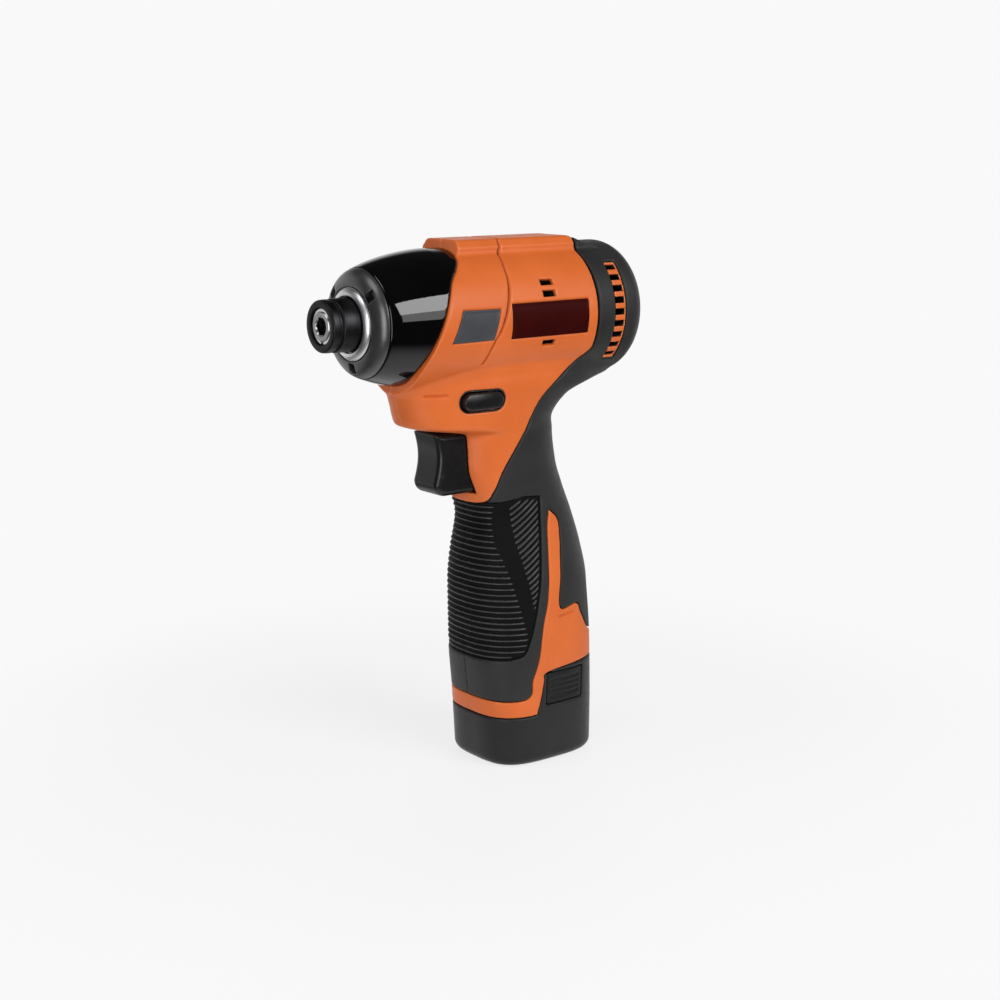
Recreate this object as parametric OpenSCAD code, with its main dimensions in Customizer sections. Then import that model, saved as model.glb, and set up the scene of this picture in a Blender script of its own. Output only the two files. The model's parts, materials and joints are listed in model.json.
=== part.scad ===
// Compact impact driver with a stick battery in the grip.
// +X points to the bit, +Y to the tool's left side, +Z up; the origin is the centre of the battery's foot.

/* [Housing] */
// Height of the drive axis above the foot
axis_h = 185.2; // [180:0.2:196]
// Distance of the rear face behind the grip's centre
rear_reach = 43.5; // [42:0.5:50]
// Depth of the grip at the palm, front to back
palm_l = 58; // [57:0.5:64]
// Width of the grip at the palm
palm_w = 48.8; // [48:0.2:56]
// Wall of the housing shells
shell_t = 2; // [1.6:0.1:2.4]
// Thickness of the rubber over the shells
over_t = 1.2; // [0.8:0.1:1.6]
// Height of the flat top ridge above the barrel
ridge_rise = 2.9; // [1.5:0.1:4]
// Width of the flat top ridge
ridge_w = 19; // [14:0.5:24]
// Radius round the rear end of the barrel
rear_round = 8; // [6:0.5:10]
// Radius round the foot of the battery
foot_round = 4; // [3:0.5:6]
// Gap along the seams between visible pieces
seam = 0.4; // [0.3:0.05:0.6]

/* [Nose] */
// Radius of the nose at its front edge
nose_tip_r = 17.8; // [16.5:0.1:20]
// Length over which the nose draws in
nose_draw = 33.3; // [30:0.1:36]
// Wall of the nose cover
cover_t = 2; // [1.6:0.1:2.4]
// Length of the collar in front of the nose cover
collar_l = 4; // [3:0.1:5]
// Outer radius of the bright boss at the front of the hammer case
boss_r = 13.8; // [13.4:0.1:15]
// Radius of a lamp lens in the collar
lens_r = 1.3; // [1:0.1:1.5]

/* [Gears] */
// Module of the gear teeth
gear_m = 0.75; // [0.7:0.01:0.8]
// Face width of the planet gears
planet_w = 7; // [5:0.5:9]
// Rim of the ring gear outside its teeth
ring_rim = 2.4; // [2:0.1:3]
// Radius of the planet pins
pin_r = 2; // [1.5:0.1:2.4]
// Backlash at the pitch circle
backlash = 0.16; // [0.12:0.01:0.24]

/* [Impact mechanism] */
// Wall of the hammer case
case_t = 2.4; // [2:0.1:3]
// Radius of the spindle's cam shaft
spindle_r = 7; // [6.5:0.1:7.6]
// Radius of the hammer
hammer_r = 19; // [18:0.1:19.4]
// Length of the hammer's body
hammer_l = 21; // [20:0.5:26]
// Length of the hammer's lugs
lug_l = 6; // [4.5:0.5:8]
// Distance that the hammer draws back
hammer_travel = 6; // [4:0.5:7]
// Depth of the spring's pocket in the hammer
pocket_l = 12; // [10:0.5:13]
// Wire radius of the hammer spring
hammer_wire_r = 1.2; // [0.9:0.1:1.4]
// Radius of the cam balls
cam_ball_r = 2.8; // [2.2:0.1:3]

/* [Anvil and sleeve] */
// Radius of the anvil's shaft in its bushing
anvil_r = 7.2; // [6.8:0.1:7.6]
// Radius of the anvil inside the sleeve
anvil_nose_r = 5.6; // [5.3:0.1:5.9]
// Length of the anvil's bushing
bushing_l = 17.5; // [15:0.5:20]
// Wall of the anvil's bushing
bushing_t = 2.2; // [1.8:0.1:2.6]
// Hex size of the bit socket across its flats
hex_af = 6.35; // [6.3:0.01:6.4]
// Depth of the bit socket
hex_depth = 27; // [24:0.5:30]
// Length of the sleeve
sleeve_l = 17; // [16:0.5:20]
// Radius of the sleeve's body
sleeve_r = 10.2; // [9.8:0.1:11]
// Radius of the flange at the sleeve's front
flange_r = 9.5; // [9.1:0.1:10]
// Radius of the waist behind the sleeve's flange
waist_r = 8.4; // [8.2:0.1:9]
// Distance that the sleeve pulls forward
sleeve_travel = 4; // [3:0.5:4.5]
// Radius of the bit balls
bit_ball_r = 1.6; // [1.4:0.1:1.7]

/* [Motor] */
// Radius of the stator
stator_r = 22; // [21:0.1:23]
// Length of the stator's core
core_l = 18; // [14:0.5:24]
// Radius of the rotor
rotor_r = 12; // [11:0.1:12.4]
// Air gap round the rotor
air_gap = 0.5; // [0.3:0.1:0.8]
// Radius of the motor's shaft
shaft_r = 2.5; // [2.2:0.1:2.8]
// Overhang of the coils past the core
coil_over = 4.5; // [3.5:0.5:5.5]
// Width of the fan
fan_w = 7; // [5:0.5:8]
// Radius of the fan
fan_r = 20; // [17:0.5:21]
// Outer radius of the motor's bearings
bearing_r = 6.5; // [6:0.1:7]
// Width of the motor's bearings
bearing_w = 4; // [3.5:0.5:5]

/* [Controls] */
// Width of the trigger
trigger_w = 17.4; // [14:0.2:19]
// Height of the trigger
trigger_h = 25; // [22:0.5:27]
// Distance of the trigger's front ahead of the grip's centre
trigger_reach = 50; // [47:0.5:54]
// Distance that the trigger pulls back
trigger_travel = 6; // [4:0.5:7]
// Length of the direction selector's button
selector_l = 19; // [16:0.5:24]
// Height of the direction selector's button
selector_h = 7; // [6:0.2:9]
// Distance that the selector slides each way
selector_travel = 2.5; // [1.5:0.1:3]
// Length of the switch
switch_l = 22; // [18:0.5:25]
// Width of the switch
switch_w = 16; // [12:0.5:20]

/* [Battery] */
// Wall of the battery's stem
stem_t = 1; // [0.8:0.1:1.1]
// Thickness of the battery's floor
floor_t = 3; // [2:0.5:5]
// Height of the contact tower on the stem
tower_h = 11; // [8:0.5:12]
// Thickness of a release latch
latch_t = 2.2; // [1.8:0.1:2.4]
// Distance that a release latch presses in
latch_travel = 1.5; // [1:0.1:1.7]

/* [Fasteners] */
// Shank radius of a housing screw
screw_r = 1.4; // [1.2:0.1:1.6]
// Head radius of a housing screw
screw_head_r = 2.7; // [2.4:0.1:3]
// Length of a housing screw's shank
screw_l = 18; // [14:0.5:20]

/* [Hidden] */
// Overrun of every cut
over = 1;
// Running gap between a shaft and its bore
run_gap = 0.15;
// Fit between pieces that don't move
fit = 0.2;
// Gap between pieces that pass each other
pass_gap = 0.4;
// Half of the depth of cuts that pass right through the tool
wide = palm_l + over;
// Sides of a grip ring, and of large and small round surfaces in the moulded shells
ring_sides = 24;
shell_sides = 32;
small_sides = 12;
// Rings in a turn of a spring, and sides of its wire
coil_rings = 12;
coil_sides = 4;

// Tooth counts and pressure angle of the planetary stage
sun_teeth = 12;
planet_teeth = 18;
ring_teeth = sun_teeth + 2 * planet_teeth;
planets = 3;
pressure = 25;
dedendum_share = 1.25;
planet_orbit = gear_m * (sun_teeth + planet_teeth) / 2;
sun_tip_r = gear_m * (sun_teeth / 2 + 1);
ring_tip_r = gear_m * (ring_teeth / 2 - 1);
ring_gear_r = gear_m * (ring_teeth / 2 + dedendum_share) + ring_rim;

// Radii of the case and the housing follow what they hold
case_bore_r = hammer_r + 2 * pass_gap;
case_r = max(ring_gear_r, case_bore_r) + fit + case_t;
stator_rib = 1.6;
head_bore_r = max(case_r, stator_r + stator_rib) + fit;
head_r = head_bore_r + shell_t + over_t;

// Places along the drive axis, from the rear face forward
plate_gap = 0.4;
fan_gap = 1;
coil_gap = 1.2;
board_t = 1.6;
web_t = 1.2;
carrier_bearing_w = 5;
carrier_t = 2.2;
flange_t = 3.6;
seat_t = 1.2;
recess_l = sleeve_travel;
tip_inset = 0.3;
x_rear = -rear_reach;
x_wall = x_rear + over_t + shell_t;
x_fan = x_wall + bearing_w + fan_gap;
x_core = x_fan + fan_w + coil_gap + coil_over;
x_board = x_core + core_l + coil_over + plate_gap;
x_bracket = x_board + board_t + 2 * plate_gap;
x_gears = x_bracket + bearing_w + web_t + carrier_bearing_w;
x_planet = x_gears + plate_gap + carrier_t + plate_gap;
x_flange = x_planet + planet_w + plate_gap;
x_seat = x_flange + flange_t;
x_hammer = x_seat + hammer_travel + 2 * plate_gap;
x_face = x_hammer + hammer_l;
x_wing = x_face + plate_gap;
x_case_wall = x_wing + lug_l + 2 * plate_gap;
x_bushing_end = x_case_wall + bushing_l;
x_nose = x_bushing_end + recess_l;
x_sleeve = x_bushing_end + plate_gap;
x_tip = x_sleeve + sleeve_l - tip_inset;
x_collar = x_nose - collar_l;
head_l = x_nose - x_rear;

// Rings of the grip as shares: height, rear, front and half width; the last value is the squareness
grip_shares = [
    [0, -0.462, 0.462, 0.465, 3.2],
    [0.14, -0.466, 0.491, 0.484, 3],
    [0.27, -0.466, 0.534, 0.5, 2.7],
    [0.405, -0.44, 0.552, 0.5, 2.5],
    [0.486, -0.388, 0.534, 0.463, 2.5],
    [0.557, -0.319, 0.509, 0.416, 2.5],
    [0.62, -0.245, 0.569, 0.385, 2.5],
    [0.675, -0.19, 0.638, 0.373, 2.5],
    [0.752, -0.155, 0.655, 0.379, 2.5],
    [0.774, -0.17, 1.04, 0.385, 2.5],
    [0.82, -0.32, 1.11, 0.4, 2.4],
    [0.864, -0.66, 1.16, 0.42, 2.4],
    [0.9, -0.66, 1.1, 0.4, 2.4]
];
// Grip rings further apart than this share of the axis height get one more between them
ring_gap_share = 0.065;

// Front edge of the shells beside the nose, as shares of the head's length and of its radius
nose_edge_shares = [
    [0.668, 1.4], [0.668, 1.05], [0.682, 0.86], [0.712, 0.72], [0.755, 0.53],
    [0.795, 0.13], [0.845, -0.33], [0.893, -0.76], [0.92, -1.3]
];
// Rear edge of the upper orange field: straight round the barrel, then down to the finger guard
field_ring_share = 0.213;
field_edge_shares = [
    [0.213, -0.5], [0.232, -0.6], [0.29, -0.81], [0.345, -1], [0.392, -1.23], [0.445, -1.62]
];
// Lower edge of the upper field at the chin, as shares of the palm's depth and the head's radius
chin_shares = [[0.399, -2.18], [0.458, -2.52], [0.502, -2.7], [0.65, -2.74], [0.825, -2.74]];
// Lower orange field: stripe up the side, shoulder and band, as shares of the palm's depth and axis height
stripe_front_shares = [
    [0.7, 0.158], [0.27, 0.155], [0.219, 0.2], [0.172, 0.245], [0.14, 0.318], [0.107, 0.364],
    [0.095, 0.4], [0.087, 0.443], [0.066, 0.53], [0.036, 0.574]
];
stripe_rear_shares = [
    [0.036, 0.574], [-0.034, 0.551], [-0.036, 0.512], [-0.014, 0.437], [-0.006, 0.355],
    [-0.172, 0.356], [-0.224, 0.331], [-0.32, 0.29], [-0.48, 0.27], [-0.7, 0.262]
];
// Lower edge of the shells: over the front band, up round the latch and back to the rear
rim_shares = [
    [0.7, 0.117], [0.228, 0.117], [0.175, 0.127], [0.145, 0.163], [0.128, 0.195], [0.098, 0.213],
    [-0.25, 0.223], [-0.7, 0.226]
];
// Points added along each stretch of a drawn edge
edge_steps = 2;

// Rear vent: its window along the axis, its angle to each side of level, and its slots
vent_x_shares = [0.094, 0.137];
vent_angle = 46;
vent_slots = 9;
vent_slot_share = 0.56;
// Side vents: along the head, and angle above level
side_vent_shares = [0.38, 0.423];
side_vent_angles = [30, 20, -22];
side_vent_h = 2.2;

// Trigger and switch
trigger_top_share = 0.758;
trigger_top = axis_h * trigger_top_share;
trigger_foot = trigger_top - trigger_h;
trigger_z = trigger_top - trigger_h / 2;
trigger_depth = 17;
trigger_dish = 1.9;
trigger_round = 3;
trigger_foot_round = 5;
trigger_lip = 2.4;
plunger_r = 2.6;
plunger_in = 1.5;
spring_room = 11;
x_trigger = trigger_reach - trigger_depth;
x_switch = x_trigger - spring_room;
switch_h = trigger_h - 2 * trigger_lip;
switch_z = trigger_foot + trigger_lip;
trigger_wire_r = 0.45;
trigger_turns = 4;

// Direction selector
selector_x_share = 0.6;
selector_drop = 4.1;
selector_out = 1.2;
selector_x = palm_l * selector_x_share;
selector_z = axis_h - head_r - selector_drop;
selector_half_share = 0.4;
selector_reach = palm_w * selector_half_share + selector_travel - selector_out;

// Battery: one cell behind, two side by side in front
cell_gap = 0.4;
cell_room = 0.3;
cell_r_share = 0.157;
cell_l_share = 0.351;
cell_r = palm_l * cell_r_share;
cell_l = axis_h * cell_l_share;
cell_pitch = 2 * cell_r + cell_gap;
cell_x_share = -0.129;
cell_rear = palm_l * cell_x_share;
cell_front = cell_rear + cell_pitch * sin(60);
cell_places = [[cell_rear, 0], [cell_front, cell_pitch / 2], [cell_front, -cell_pitch / 2]];
stem_r = cell_r + cell_gap / 2 + stem_t;
stem_floor = 1.2;
stem_z = floor_t + fit;
cell_z = stem_z + stem_floor;
cap_t = 2.6;
stem_top = cell_z + cell_l + plate_gap + cap_t;
tower_top = stem_top + tower_h;
tower_x = cell_front / 2;
tower_l = 16;
tower_w = 20;
blades = 3;
blade_pitch = 5.5;
blade_t = 0.8;
blade_w = 8;
blade_room = 1.4;
contact_t = 0.3;
contact_base = 1;
terminal_t = 5.5;
terminal_z = tower_top + plate_gap;
terminal_lip = 2;

// Release latches in the battery's sides
latch_x_shares = [-0.235, 0.1];
latch_z_shares = [0.137, 0.209];
latch_well = 9.2;
latch_tab_l = 7;
latch_tab_h = 5;
latch_tab_t = 2;
latch_tab_in = 5.4;
latch_wire_r = 0.35;
latch_turns = 3;
latch_spring_r = 2.4;
latch_spring_share = -0.14;
latch_spring_x = palm_l * latch_spring_share;

// Control board
board_l = 28;
board_w = 24;
board_rise = 3.4;
chip_h = 3;
chip_l = 7;
chip_w = 10;
board_x_share = 0.1;
control_x = palm_l * board_x_share;
control_z = terminal_z + terminal_t + board_rise;

// Housing screws: two close below the barrel, one on each side of the battery's stem, and those in the grip
boss_t = 1.5;
boss_bar_r = screw_r + fit + boss_t;
head_screw_shares = [0.93, 0.04];
head_screw_drop = 4;
head_screws = [for (s = head_screw_shares) [palm_l * s, axis_h - head_r - head_screw_drop]];
stem_screw_shares = [0.2, 0.33];
stem_screw_room = stem_r + boss_bar_r + 3 * fit;
stem_screws = [
    [cell_front + stem_screw_room, axis_h * stem_screw_shares[0]],
    [cell_rear - stem_screw_room, axis_h * stem_screw_shares[1]]
];
screw_shares = [[-0.078, 0.72], [0.4, 0.592], [-0.17, 0.585]];
screw_places = concat(head_screws, stem_screws, on_grip(screw_shares));
screw_seat = 11;
screw_head_t = 2.2;
rib_t = 1.6;
rib_in = 3;

// Sleeve, washer and ring around the anvil's nose
shoulder_l = 3.5;
relief_l = 2.2;
sleeve_bore_r = anvil_nose_r + 1.4;
washer_t = 0.8;
ring_t = 0.7;
ring_groove = 0.4;
flange_l = 3.2;
cone_l = 2.2;
waist_l = 1.6;
edge_round = 0.5;
sleeve_wire_r = 0.4;
sleeve_turns = 4;
x_shoulder = x_sleeve + relief_l;
x_spring = x_shoulder + shoulder_l;
x_ring = x_tip - edge_round - ring_t;
x_washer = x_ring - washer_t;
bit_balls_n = 2;

// Hammer and anvil details
spring_mid_r = 12;
spring_turns = 5;
lug_w = 9;
lug_in_r = 11;
wing_w = 11;
wing_in = 1;
hub_r = 9;
pilot_r = 3.4;
pilot_l = 5;
cam_tilt = 55;
cam_wall = 1.4;
cam_seat = 0.3;
x_cam_ball = x_hammer + pocket_l + cam_ball_r + cam_wall;

// Motor details
teeth_n = 6;
tooth_w = 6;
yoke_t = 3;
shoe_t = 2;
shoe_angle = 46;
coil_t = 2.6;
blades_n = 11;
blade_fan_t = 1.4;
blade_lean = 25;
fan_disc_t = 1.4;
fan_hub_r = 5;
fan_eye_r = 11;
ball_gap = 0.08;
motor_balls = 7;
carrier_balls = 11;
race_share = 0.3;
carrier_bore_r = sun_tip_r + pass_gap;
hub_t = 1.9;
carrier_hub_r = carrier_bore_r + hub_t;
carrier_bearing_t = 4.5;
carrier_bearing_r = carrier_hub_r + carrier_bearing_t;
carrier_r = ring_tip_r - pass_gap;
pillar_r = 3;
pillar_orbit = planet_orbit + pin_r / 2;
case_screw_r = 0.8;
case_screw_l = 9;
case_screw_head = 1;
case_screw_head_r = 1.2;
case_screws_n = 4;
lamp_angles = [42, 138, 270];
lamp_l = 2.6;

// Curves and placing

// Point on a smooth curve through a list, by Catmull and Rom's rule
function curve_point(p, i, t) =
    let (a = p[max(i - 1, 0)], b = p[i], c = p[i + 1], d = p[min(i + 2, len(p) - 1)])
    (2 * b + (c - a) * t + (2 * a - 5 * b + 4 * c - d) * t * t + (3 * b - a - 3 * c + d) * t * t * t) / 2;

// Smooth curve through a list of points
function curve(p) =
    concat([for (i = [0 : len(p) - 2]) for (k = [0 : edge_steps - 1]) curve_point(p, i, k / edge_steps)],
           [p[len(p) - 1]]);

// Points given as shares of the head, and as shares of the grip
function on_head(p) = [for (s = p) [x_rear + s[0] * head_l, axis_h + s[1] * head_r]];
function on_grip(p) = [for (s = p) [s[0] * palm_l, s[1] * axis_h]];

// Slope of a grip column at a ring that never overshoots its neighbours
function grip_rate(k, i) =
    let (a = grip_shares[i], b = grip_shares[i + 1]) (b[k] - a[k]) / (b[0] - a[0]);
function grip_slope(k, i) =
    i == 0 ? grip_rate(k, 0) :
    i == len(grip_shares) - 1 ? grip_rate(k, i - 1) :
    let (a = grip_rate(k, i - 1), b = grip_rate(k, i)) a * b <= 0 ? 0 : 2 * a * b / (a + b);

// Grip column k at part t of the way from ring i to the next
function grip_value(k, i, t) =
    let (a = grip_shares[i], b = grip_shares[i + 1], w = b[0] - a[0])
    a[k] * (1 + 2 * t) * (1 - t) * (1 - t) + b[k] * t * t * (3 - 2 * t)
    + w * t * (1 - t) * ((1 - t) * grip_slope(k, i) - t * grip_slope(k, i + 1));

// One ring of the grip, drawn in by an inset
function grip_ring(z, rear, front, half, power, inset) = [
    for (j = [0 : ring_sides - 1])
    let (a = 360 * (j + 1 / 2) / ring_sides, c = cos(a), s = sin(a),
         m = pow(pow(abs(c), power) + pow(abs(s), power), -1 / power))
    [(rear + front) / 2 + ((front - rear) / 2 - inset) * m * c, (half - inset) * m * s, z]
];

// All rings of the grip from the foot up
function grip_rings(inset, fine) =
    let (n = len(grip_shares) - 1)
    concat(
        [
            for (i = [0 : n - 1])
            let (steps = fine && grip_shares[i + 1][0] - grip_shares[i][0] > ring_gap_share ? 2 : 1)
            for (t = [0 : steps - 1]) grip_at(i, t / steps, inset)
        ],
        [grip_at(n - 1, 1, inset)]
    );
function grip_at(i, t, inset) =
    grip_ring(axis_h * (grip_shares[i][0] * (1 - t) + grip_shares[i + 1][0] * t),
              palm_l * grip_value(1, i, t), palm_l * grip_value(2, i, t),
              palm_w * grip_value(3, i, t), grip_value(4, i, t), inset);

// Radius of the nose at a place along the axis
nose_powers = [1.5, 1.7];
function nose_r(x) =
    let (u = min(max((x - x_nose + nose_draw) / nose_draw, 0), 1))
    nose_tip_r + (head_r - nose_tip_r) * pow(max(1 - pow(u, nose_powers[0]), 0), 1 / nose_powers[1]);

// Turns a shape drawn along Z to lie along the drive axis, starting at x
module along_axis(x) {
    translate([x, 0, axis_h]) rotate([0, 90, 0]) children();
}

// Revolves an outline of [distance along the axis, radius] points round the drive axis
module turned(points) {
    along_axis(0) rotate_extrude() polygon([for (p = points) [p[1], p[0]]]);
}

// Plain ring round the drive axis
module ring(x, length, outer, inner) {
    turned([[x, inner], [x + length, inner], [x + length, outer], [x, outer]]);
}

// Copies children at equal angles round the drive axis
module round_axis(count, turn = 0) {
    for (i = [0 : count - 1])
        translate([0, 0, axis_h]) rotate([turn + 360 * i / count, 0, 0])
            translate([0, 0, -axis_h]) children();
}

// Extrudes a side view right through the tool
module side_cut() {
    rotate([90, 0, 0]) linear_extrude(2 * wide, center = true) children();
}

// Box from one corner to the opposite one
module block(a, b) {
    translate(a) cube(b - a);
}

// Bar across the tool at a place in the side view
module cross_bar(x, z, r, y0, y1) {
    translate([x, y1, z]) rotate([90, 0, 0]) cylinder(r = r, h = y1 - y0);
}

// Coil spring along Z from its foot, one unbroken tube
module coil(length, mid_r, wire_r, turns) {
    rings = coil_rings * turns;
    sides = coil_sides;
    rise = length - 2 * wire_r;
    points = [
        for (i = [0 : rings]) for (j = [0 : sides - 1])
        let (a = 360 * turns * i / rings, b = 360 * j / sides, r = mid_r + wire_r * cos(b))
        [r * cos(a), r * sin(a), wire_r + rise * i / rings + wire_r * sin(b)]
    ];
    walls = [
        for (i = [0 : rings - 1]) for (j = [0 : sides - 1])
        let (k = (j + 1) % sides, p = i * sides, q = p + sides)
        each [[p + j, q + j, q + k], [p + j, q + k, p + k]]
    ];
    foot = [for (j = [1 : sides - 2]) [0, j, j + 1]];
    head = [for (j = [1 : sides - 2]) [rings * sides, rings * sides + j + 1, rings * sides + j]];
    polyhedron(points, concat(walls, foot, head));
}

// Outer forms

// Solid between two rings
module ring_pair(a, b) {
    hull() polyhedron(concat(a, b), [[for (j = [0 : 2 * ring_sides - 1]) j]]);
}

// Grip from the foot to the barrel, drawn in by an inset
module grip_form(inset, fine = true) {
    rings = grip_rings(inset, fine);
    for (i = [0 : len(rings) - 2]) ring_pair(rings[i], rings[i + 1]);
}

// Rounded foot of the battery, drawn in by an inset
module foot_form(inset) {
    steps = 3;
    rings = [
        for (k = [0 : steps])
        let (a = 90 * k / steps, z = foot_round * (1 - cos(a)))
        [for (q = grip_at(0, 0, inset + foot_round * (1 - sin(a)))) [q[0], q[1], z]]
    ];
    for (i = [0 : steps - 1]) ring_pair(rings[i], rings[i + 1]);
}

// Barrel round the motor and the hammer case
module barrel_form(inset) {
    bend = max(rear_round - inset, over);
    r = head_r - inset;
    x = x_rear + inset;
    corner = [for (a = [0 : 18 : 90]) [x + bend - bend * cos(a), r - bend + bend * sin(a)]];
    along_axis(0) rotate(180 / shell_sides) rotate_extrude($fn = shell_sides)
        polygon([for (p = concat([[x, 0]], corner, [[x_nose, r], [x_nose, 0]])) [p[1], p[0]]]);
}

// Flat ridge along the top of the barrel
module ridge_form(inset) {
    start_share = 0.17;
    ramp_share = 0.045;
    flank = 2.4;
    thin = 0.1;
    top = head_r + ridge_rise - inset;
    x0 = x_rear + start_share * head_l;
    x1 = x0 + ramp_share * head_l;
    foot = ridge_w / 2 + flank - inset;
    crown = ridge_w / 2 - inset;
    hull() {
        along_axis(x1) linear_extrude(x_nose - x1) polygon([
            [0, -foot], [-head_r, -foot], [-top, -crown], [-top, crown], [-head_r, foot], [0, foot]
        ]);
        along_axis(x0) linear_extrude(thin)
            polygon([[0, -foot], [-head_r + inset, -crown], [-head_r + inset, crown], [0, foot]]);
    }
}

// Whole body without the nose, drawn in by an inset
module body_form(inset) {
    barrel_form(inset);
    ridge_form(inset);
    grip_form(inset);
}

// Hollow of the shells, with the ridge left solid
module hollow_form() {
    barrel_form(over_t + shell_t);
    grip_form(over_t + shell_t, false);
}

// Side view of all that lies in front of the shells' nose edge
module nose_zone(gap) {
    edge = curve(on_head(nose_edge_shares));
    far = x_tip + wide;
    offset(delta = -gap) polygon(concat(edge, [[far, edge[len(edge) - 1][1]], [far, edge[0][1]]]));
}

// Side view of all that lies under the shells' lower rim, drawn in by a gap
module rim_zone(gap) {
    edge = curve(on_grip(rim_shares));
    far = -wide;
    offset(delta = -gap) polygon(concat(edge, [[edge[len(edge) - 1][0], far], [edge[0][0], far]]));
}

// Side view of the orange fields, widened by a gap
module orange_zone(gap) {
    x_ring = x_rear + field_ring_share * head_l;
    top = axis_h + wide;
    chin = [for (s = chin_shares) [palm_l * s[0], axis_h + head_r * s[1]]];
    upper = curve(concat(on_head(field_edge_shares), chin));
    lower = concat(curve(on_grip(stripe_front_shares)), curve(on_grip(stripe_rear_shares)));
    end = upper[len(upper) - 1];
    offset(delta = gap) {
        polygon(concat([[x_ring, top]], upper, [[x_tip, end[1]], [x_tip, top]]));
        polygon(concat(lower, [[-wide, 0], [wide, 0]]));
    }
}

// Wedge of the barrel's wall between two angles above level, on both sides
module wall_sector(x0, x1, low, high) {
    reach = 2 * head_r;
    angles = [low, (low + high) / 2, high];
    for (side = [-1, 1])
        along_axis(x0) linear_extrude(x1 - x0)
            polygon([for (a = angles) [-reach * sin(a), side * reach * cos(a)], [0, 0]]);
}

// Window of the rear vent, widened by a gap
module vent_window(gap) {
    x0 = x_rear + vent_x_shares[0] * head_l - gap;
    x1 = x_rear + vent_x_shares[1] * head_l + gap;
    turn = atan(gap / head_r);
    parts = 4;
    for (i = [0 : parts - 1])
        wall_sector(x0, x1, -vent_angle - turn + 2 * (vent_angle + turn) * i / parts,
                    -vent_angle - turn + 2 * (vent_angle + turn) * (i + 1) / parts);
}

// Slots of the rear vent and of the side vents
module vent_cuts() {
    pitch = 2 * vent_angle / vent_slots;
    for (i = [0 : vent_slots - 1]) {
        mid = -vent_angle + pitch * (i + 1 / 2);
        wall_sector(x_rear + vent_x_shares[0] * head_l + seam, x_rear + vent_x_shares[1] * head_l - seam,
                    mid - pitch * vent_slot_share / 2, mid + pitch * vent_slot_share / 2);
    }
    for (a = side_vent_angles) {
        turn = asin(side_vent_h / 2 / head_r);
        wall_sector(x_rear + side_vent_shares[0] * head_l, x_rear + side_vent_shares[1] * head_l,
                    a - turn, a + turn);
    }
}

// One half of the tool: side 1 is the left one
module half(side) {
    intersection() {
        children();
        translate([-2 * wide, side > 0 ? 0 : -wide, -wide]) cube([4 * wide, wide, axis_h + 2 * wide]);
    }
}

// Openings for the trigger, the selector and the screws
module control_cuts() {
    block([x_switch, -trigger_w / 2 - pass_gap, trigger_foot - pass_gap],
          [trigger_reach + wide, trigger_w / 2 + pass_gap, trigger_top + pass_gap]);
    side_cut() pill(selector_x, selector_z, selector_l + 2 * pass_gap, selector_h + 2 * pass_gap);
}

// Long round-ended outline in the side view
module pill(x, z, length, height) {
    mid = length / 2 - height / 2;
    for (s = [-1, 1]) translate([x + s * mid, z]) circle(d = height, $fn = small_sides);
    translate([x - mid, z - height / 2]) square([2 * mid, height]);
}

// Housing shells and grips

// Ribs, bearing seat and screw bosses inside the shells
module inner_ribs() {
    for (x = [x_core + rib_t, x_core + core_l - 2 * rib_t])
        along_axis(x) linear_extrude(rib_t) difference() {
            circle(head_bore_r + shell_t / 2, $fn = shell_sides);
            circle(stator_r + fit, $fn = shell_sides);
        }
    along_axis(x_wall - shell_t / 2) linear_extrude(bearing_w + shell_t / 2) difference() {
        circle(bearing_r + fit + boss_t, $fn = shell_sides);
        circle(bearing_r + fit, $fn = shell_sides);
    }
    for (z = [switch_z - fit - rib_t, switch_z + switch_h + fit])
        for (s = [-1, 1])
            block([x_switch - switch_l + rib_t, s > 0 ? rib_in : -wide, z],
                  [x_switch - rib_t, s > 0 ? wide : -rib_in, z + rib_t]);
    for (z = [terminal_z + terminal_t + fit, control_z - fit - rib_t, control_z + board_t + fit])
        for (s = [-1, 1])
            block([-palm_l / 2, s > 0 ? board_w / 2 - rib_in : -wide, z],
                  [palm_l / 2, s > 0 ? wide : rib_in - board_w / 2, z + rib_t]);
    for (p = screw_places)
        cross_bar(p[0], p[1], boss_bar_r, -wide / 2, wide / 2, $fn = small_sides);
}

// Screw holes: a clear hole and a head recess on the right, a blind hole on the left
module screw_cuts() {
    for (p = screw_places) {
        cross_bar(p[0], p[1], screw_r + fit, -wide, screw_l - screw_seat + over, $fn = small_sides);
        cross_bar(p[0], p[1], screw_head_r + fit, -wide, -screw_seat, $fn = small_sides);
    }
}

// Both shells in one, in front of and above their open edges
module shell_solid() {
    difference() {
        union() {
            intersection() {
                body_form(0);
                union() {
                    side_cut() orange_zone(0);
                    vent_window(-seam);
                }
            }
            body_form(over_t);
        }
        difference() {
            hollow_form();
            inner_ribs();
        }
        side_cut() nose_zone(0);
        side_cut() rim_zone(0);
        vent_cuts();
        control_cuts();
        screw_cuts();
    }
}

// Both rubber grips in one
module grip_solid() {
    difference() {
        body_form(0);
        body_form(over_t);
        side_cut() orange_zone(seam / 2);
        vent_window(0);
        side_cut() nose_zone(0);
        side_cut() rim_zone(0);
        control_cuts();
        screw_cuts();
    }
}

module left_housing() {
    color("darkorange") half(1) shell_solid();
}

module right_housing() {
    color("darkorange") half(-1) shell_solid();
}

module left_grip() {
    color("dimgray") half(1) grip_solid();
}

module right_grip() {
    color("dimgray") half(-1) grip_solid();
}

// Nose

// Places along the nose, closer together at its rounded front
function nose_places(x0, x1) =
    [for (a = [0 : 10 : 90]) x0 + (x1 - x0) * sin(a)];

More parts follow.
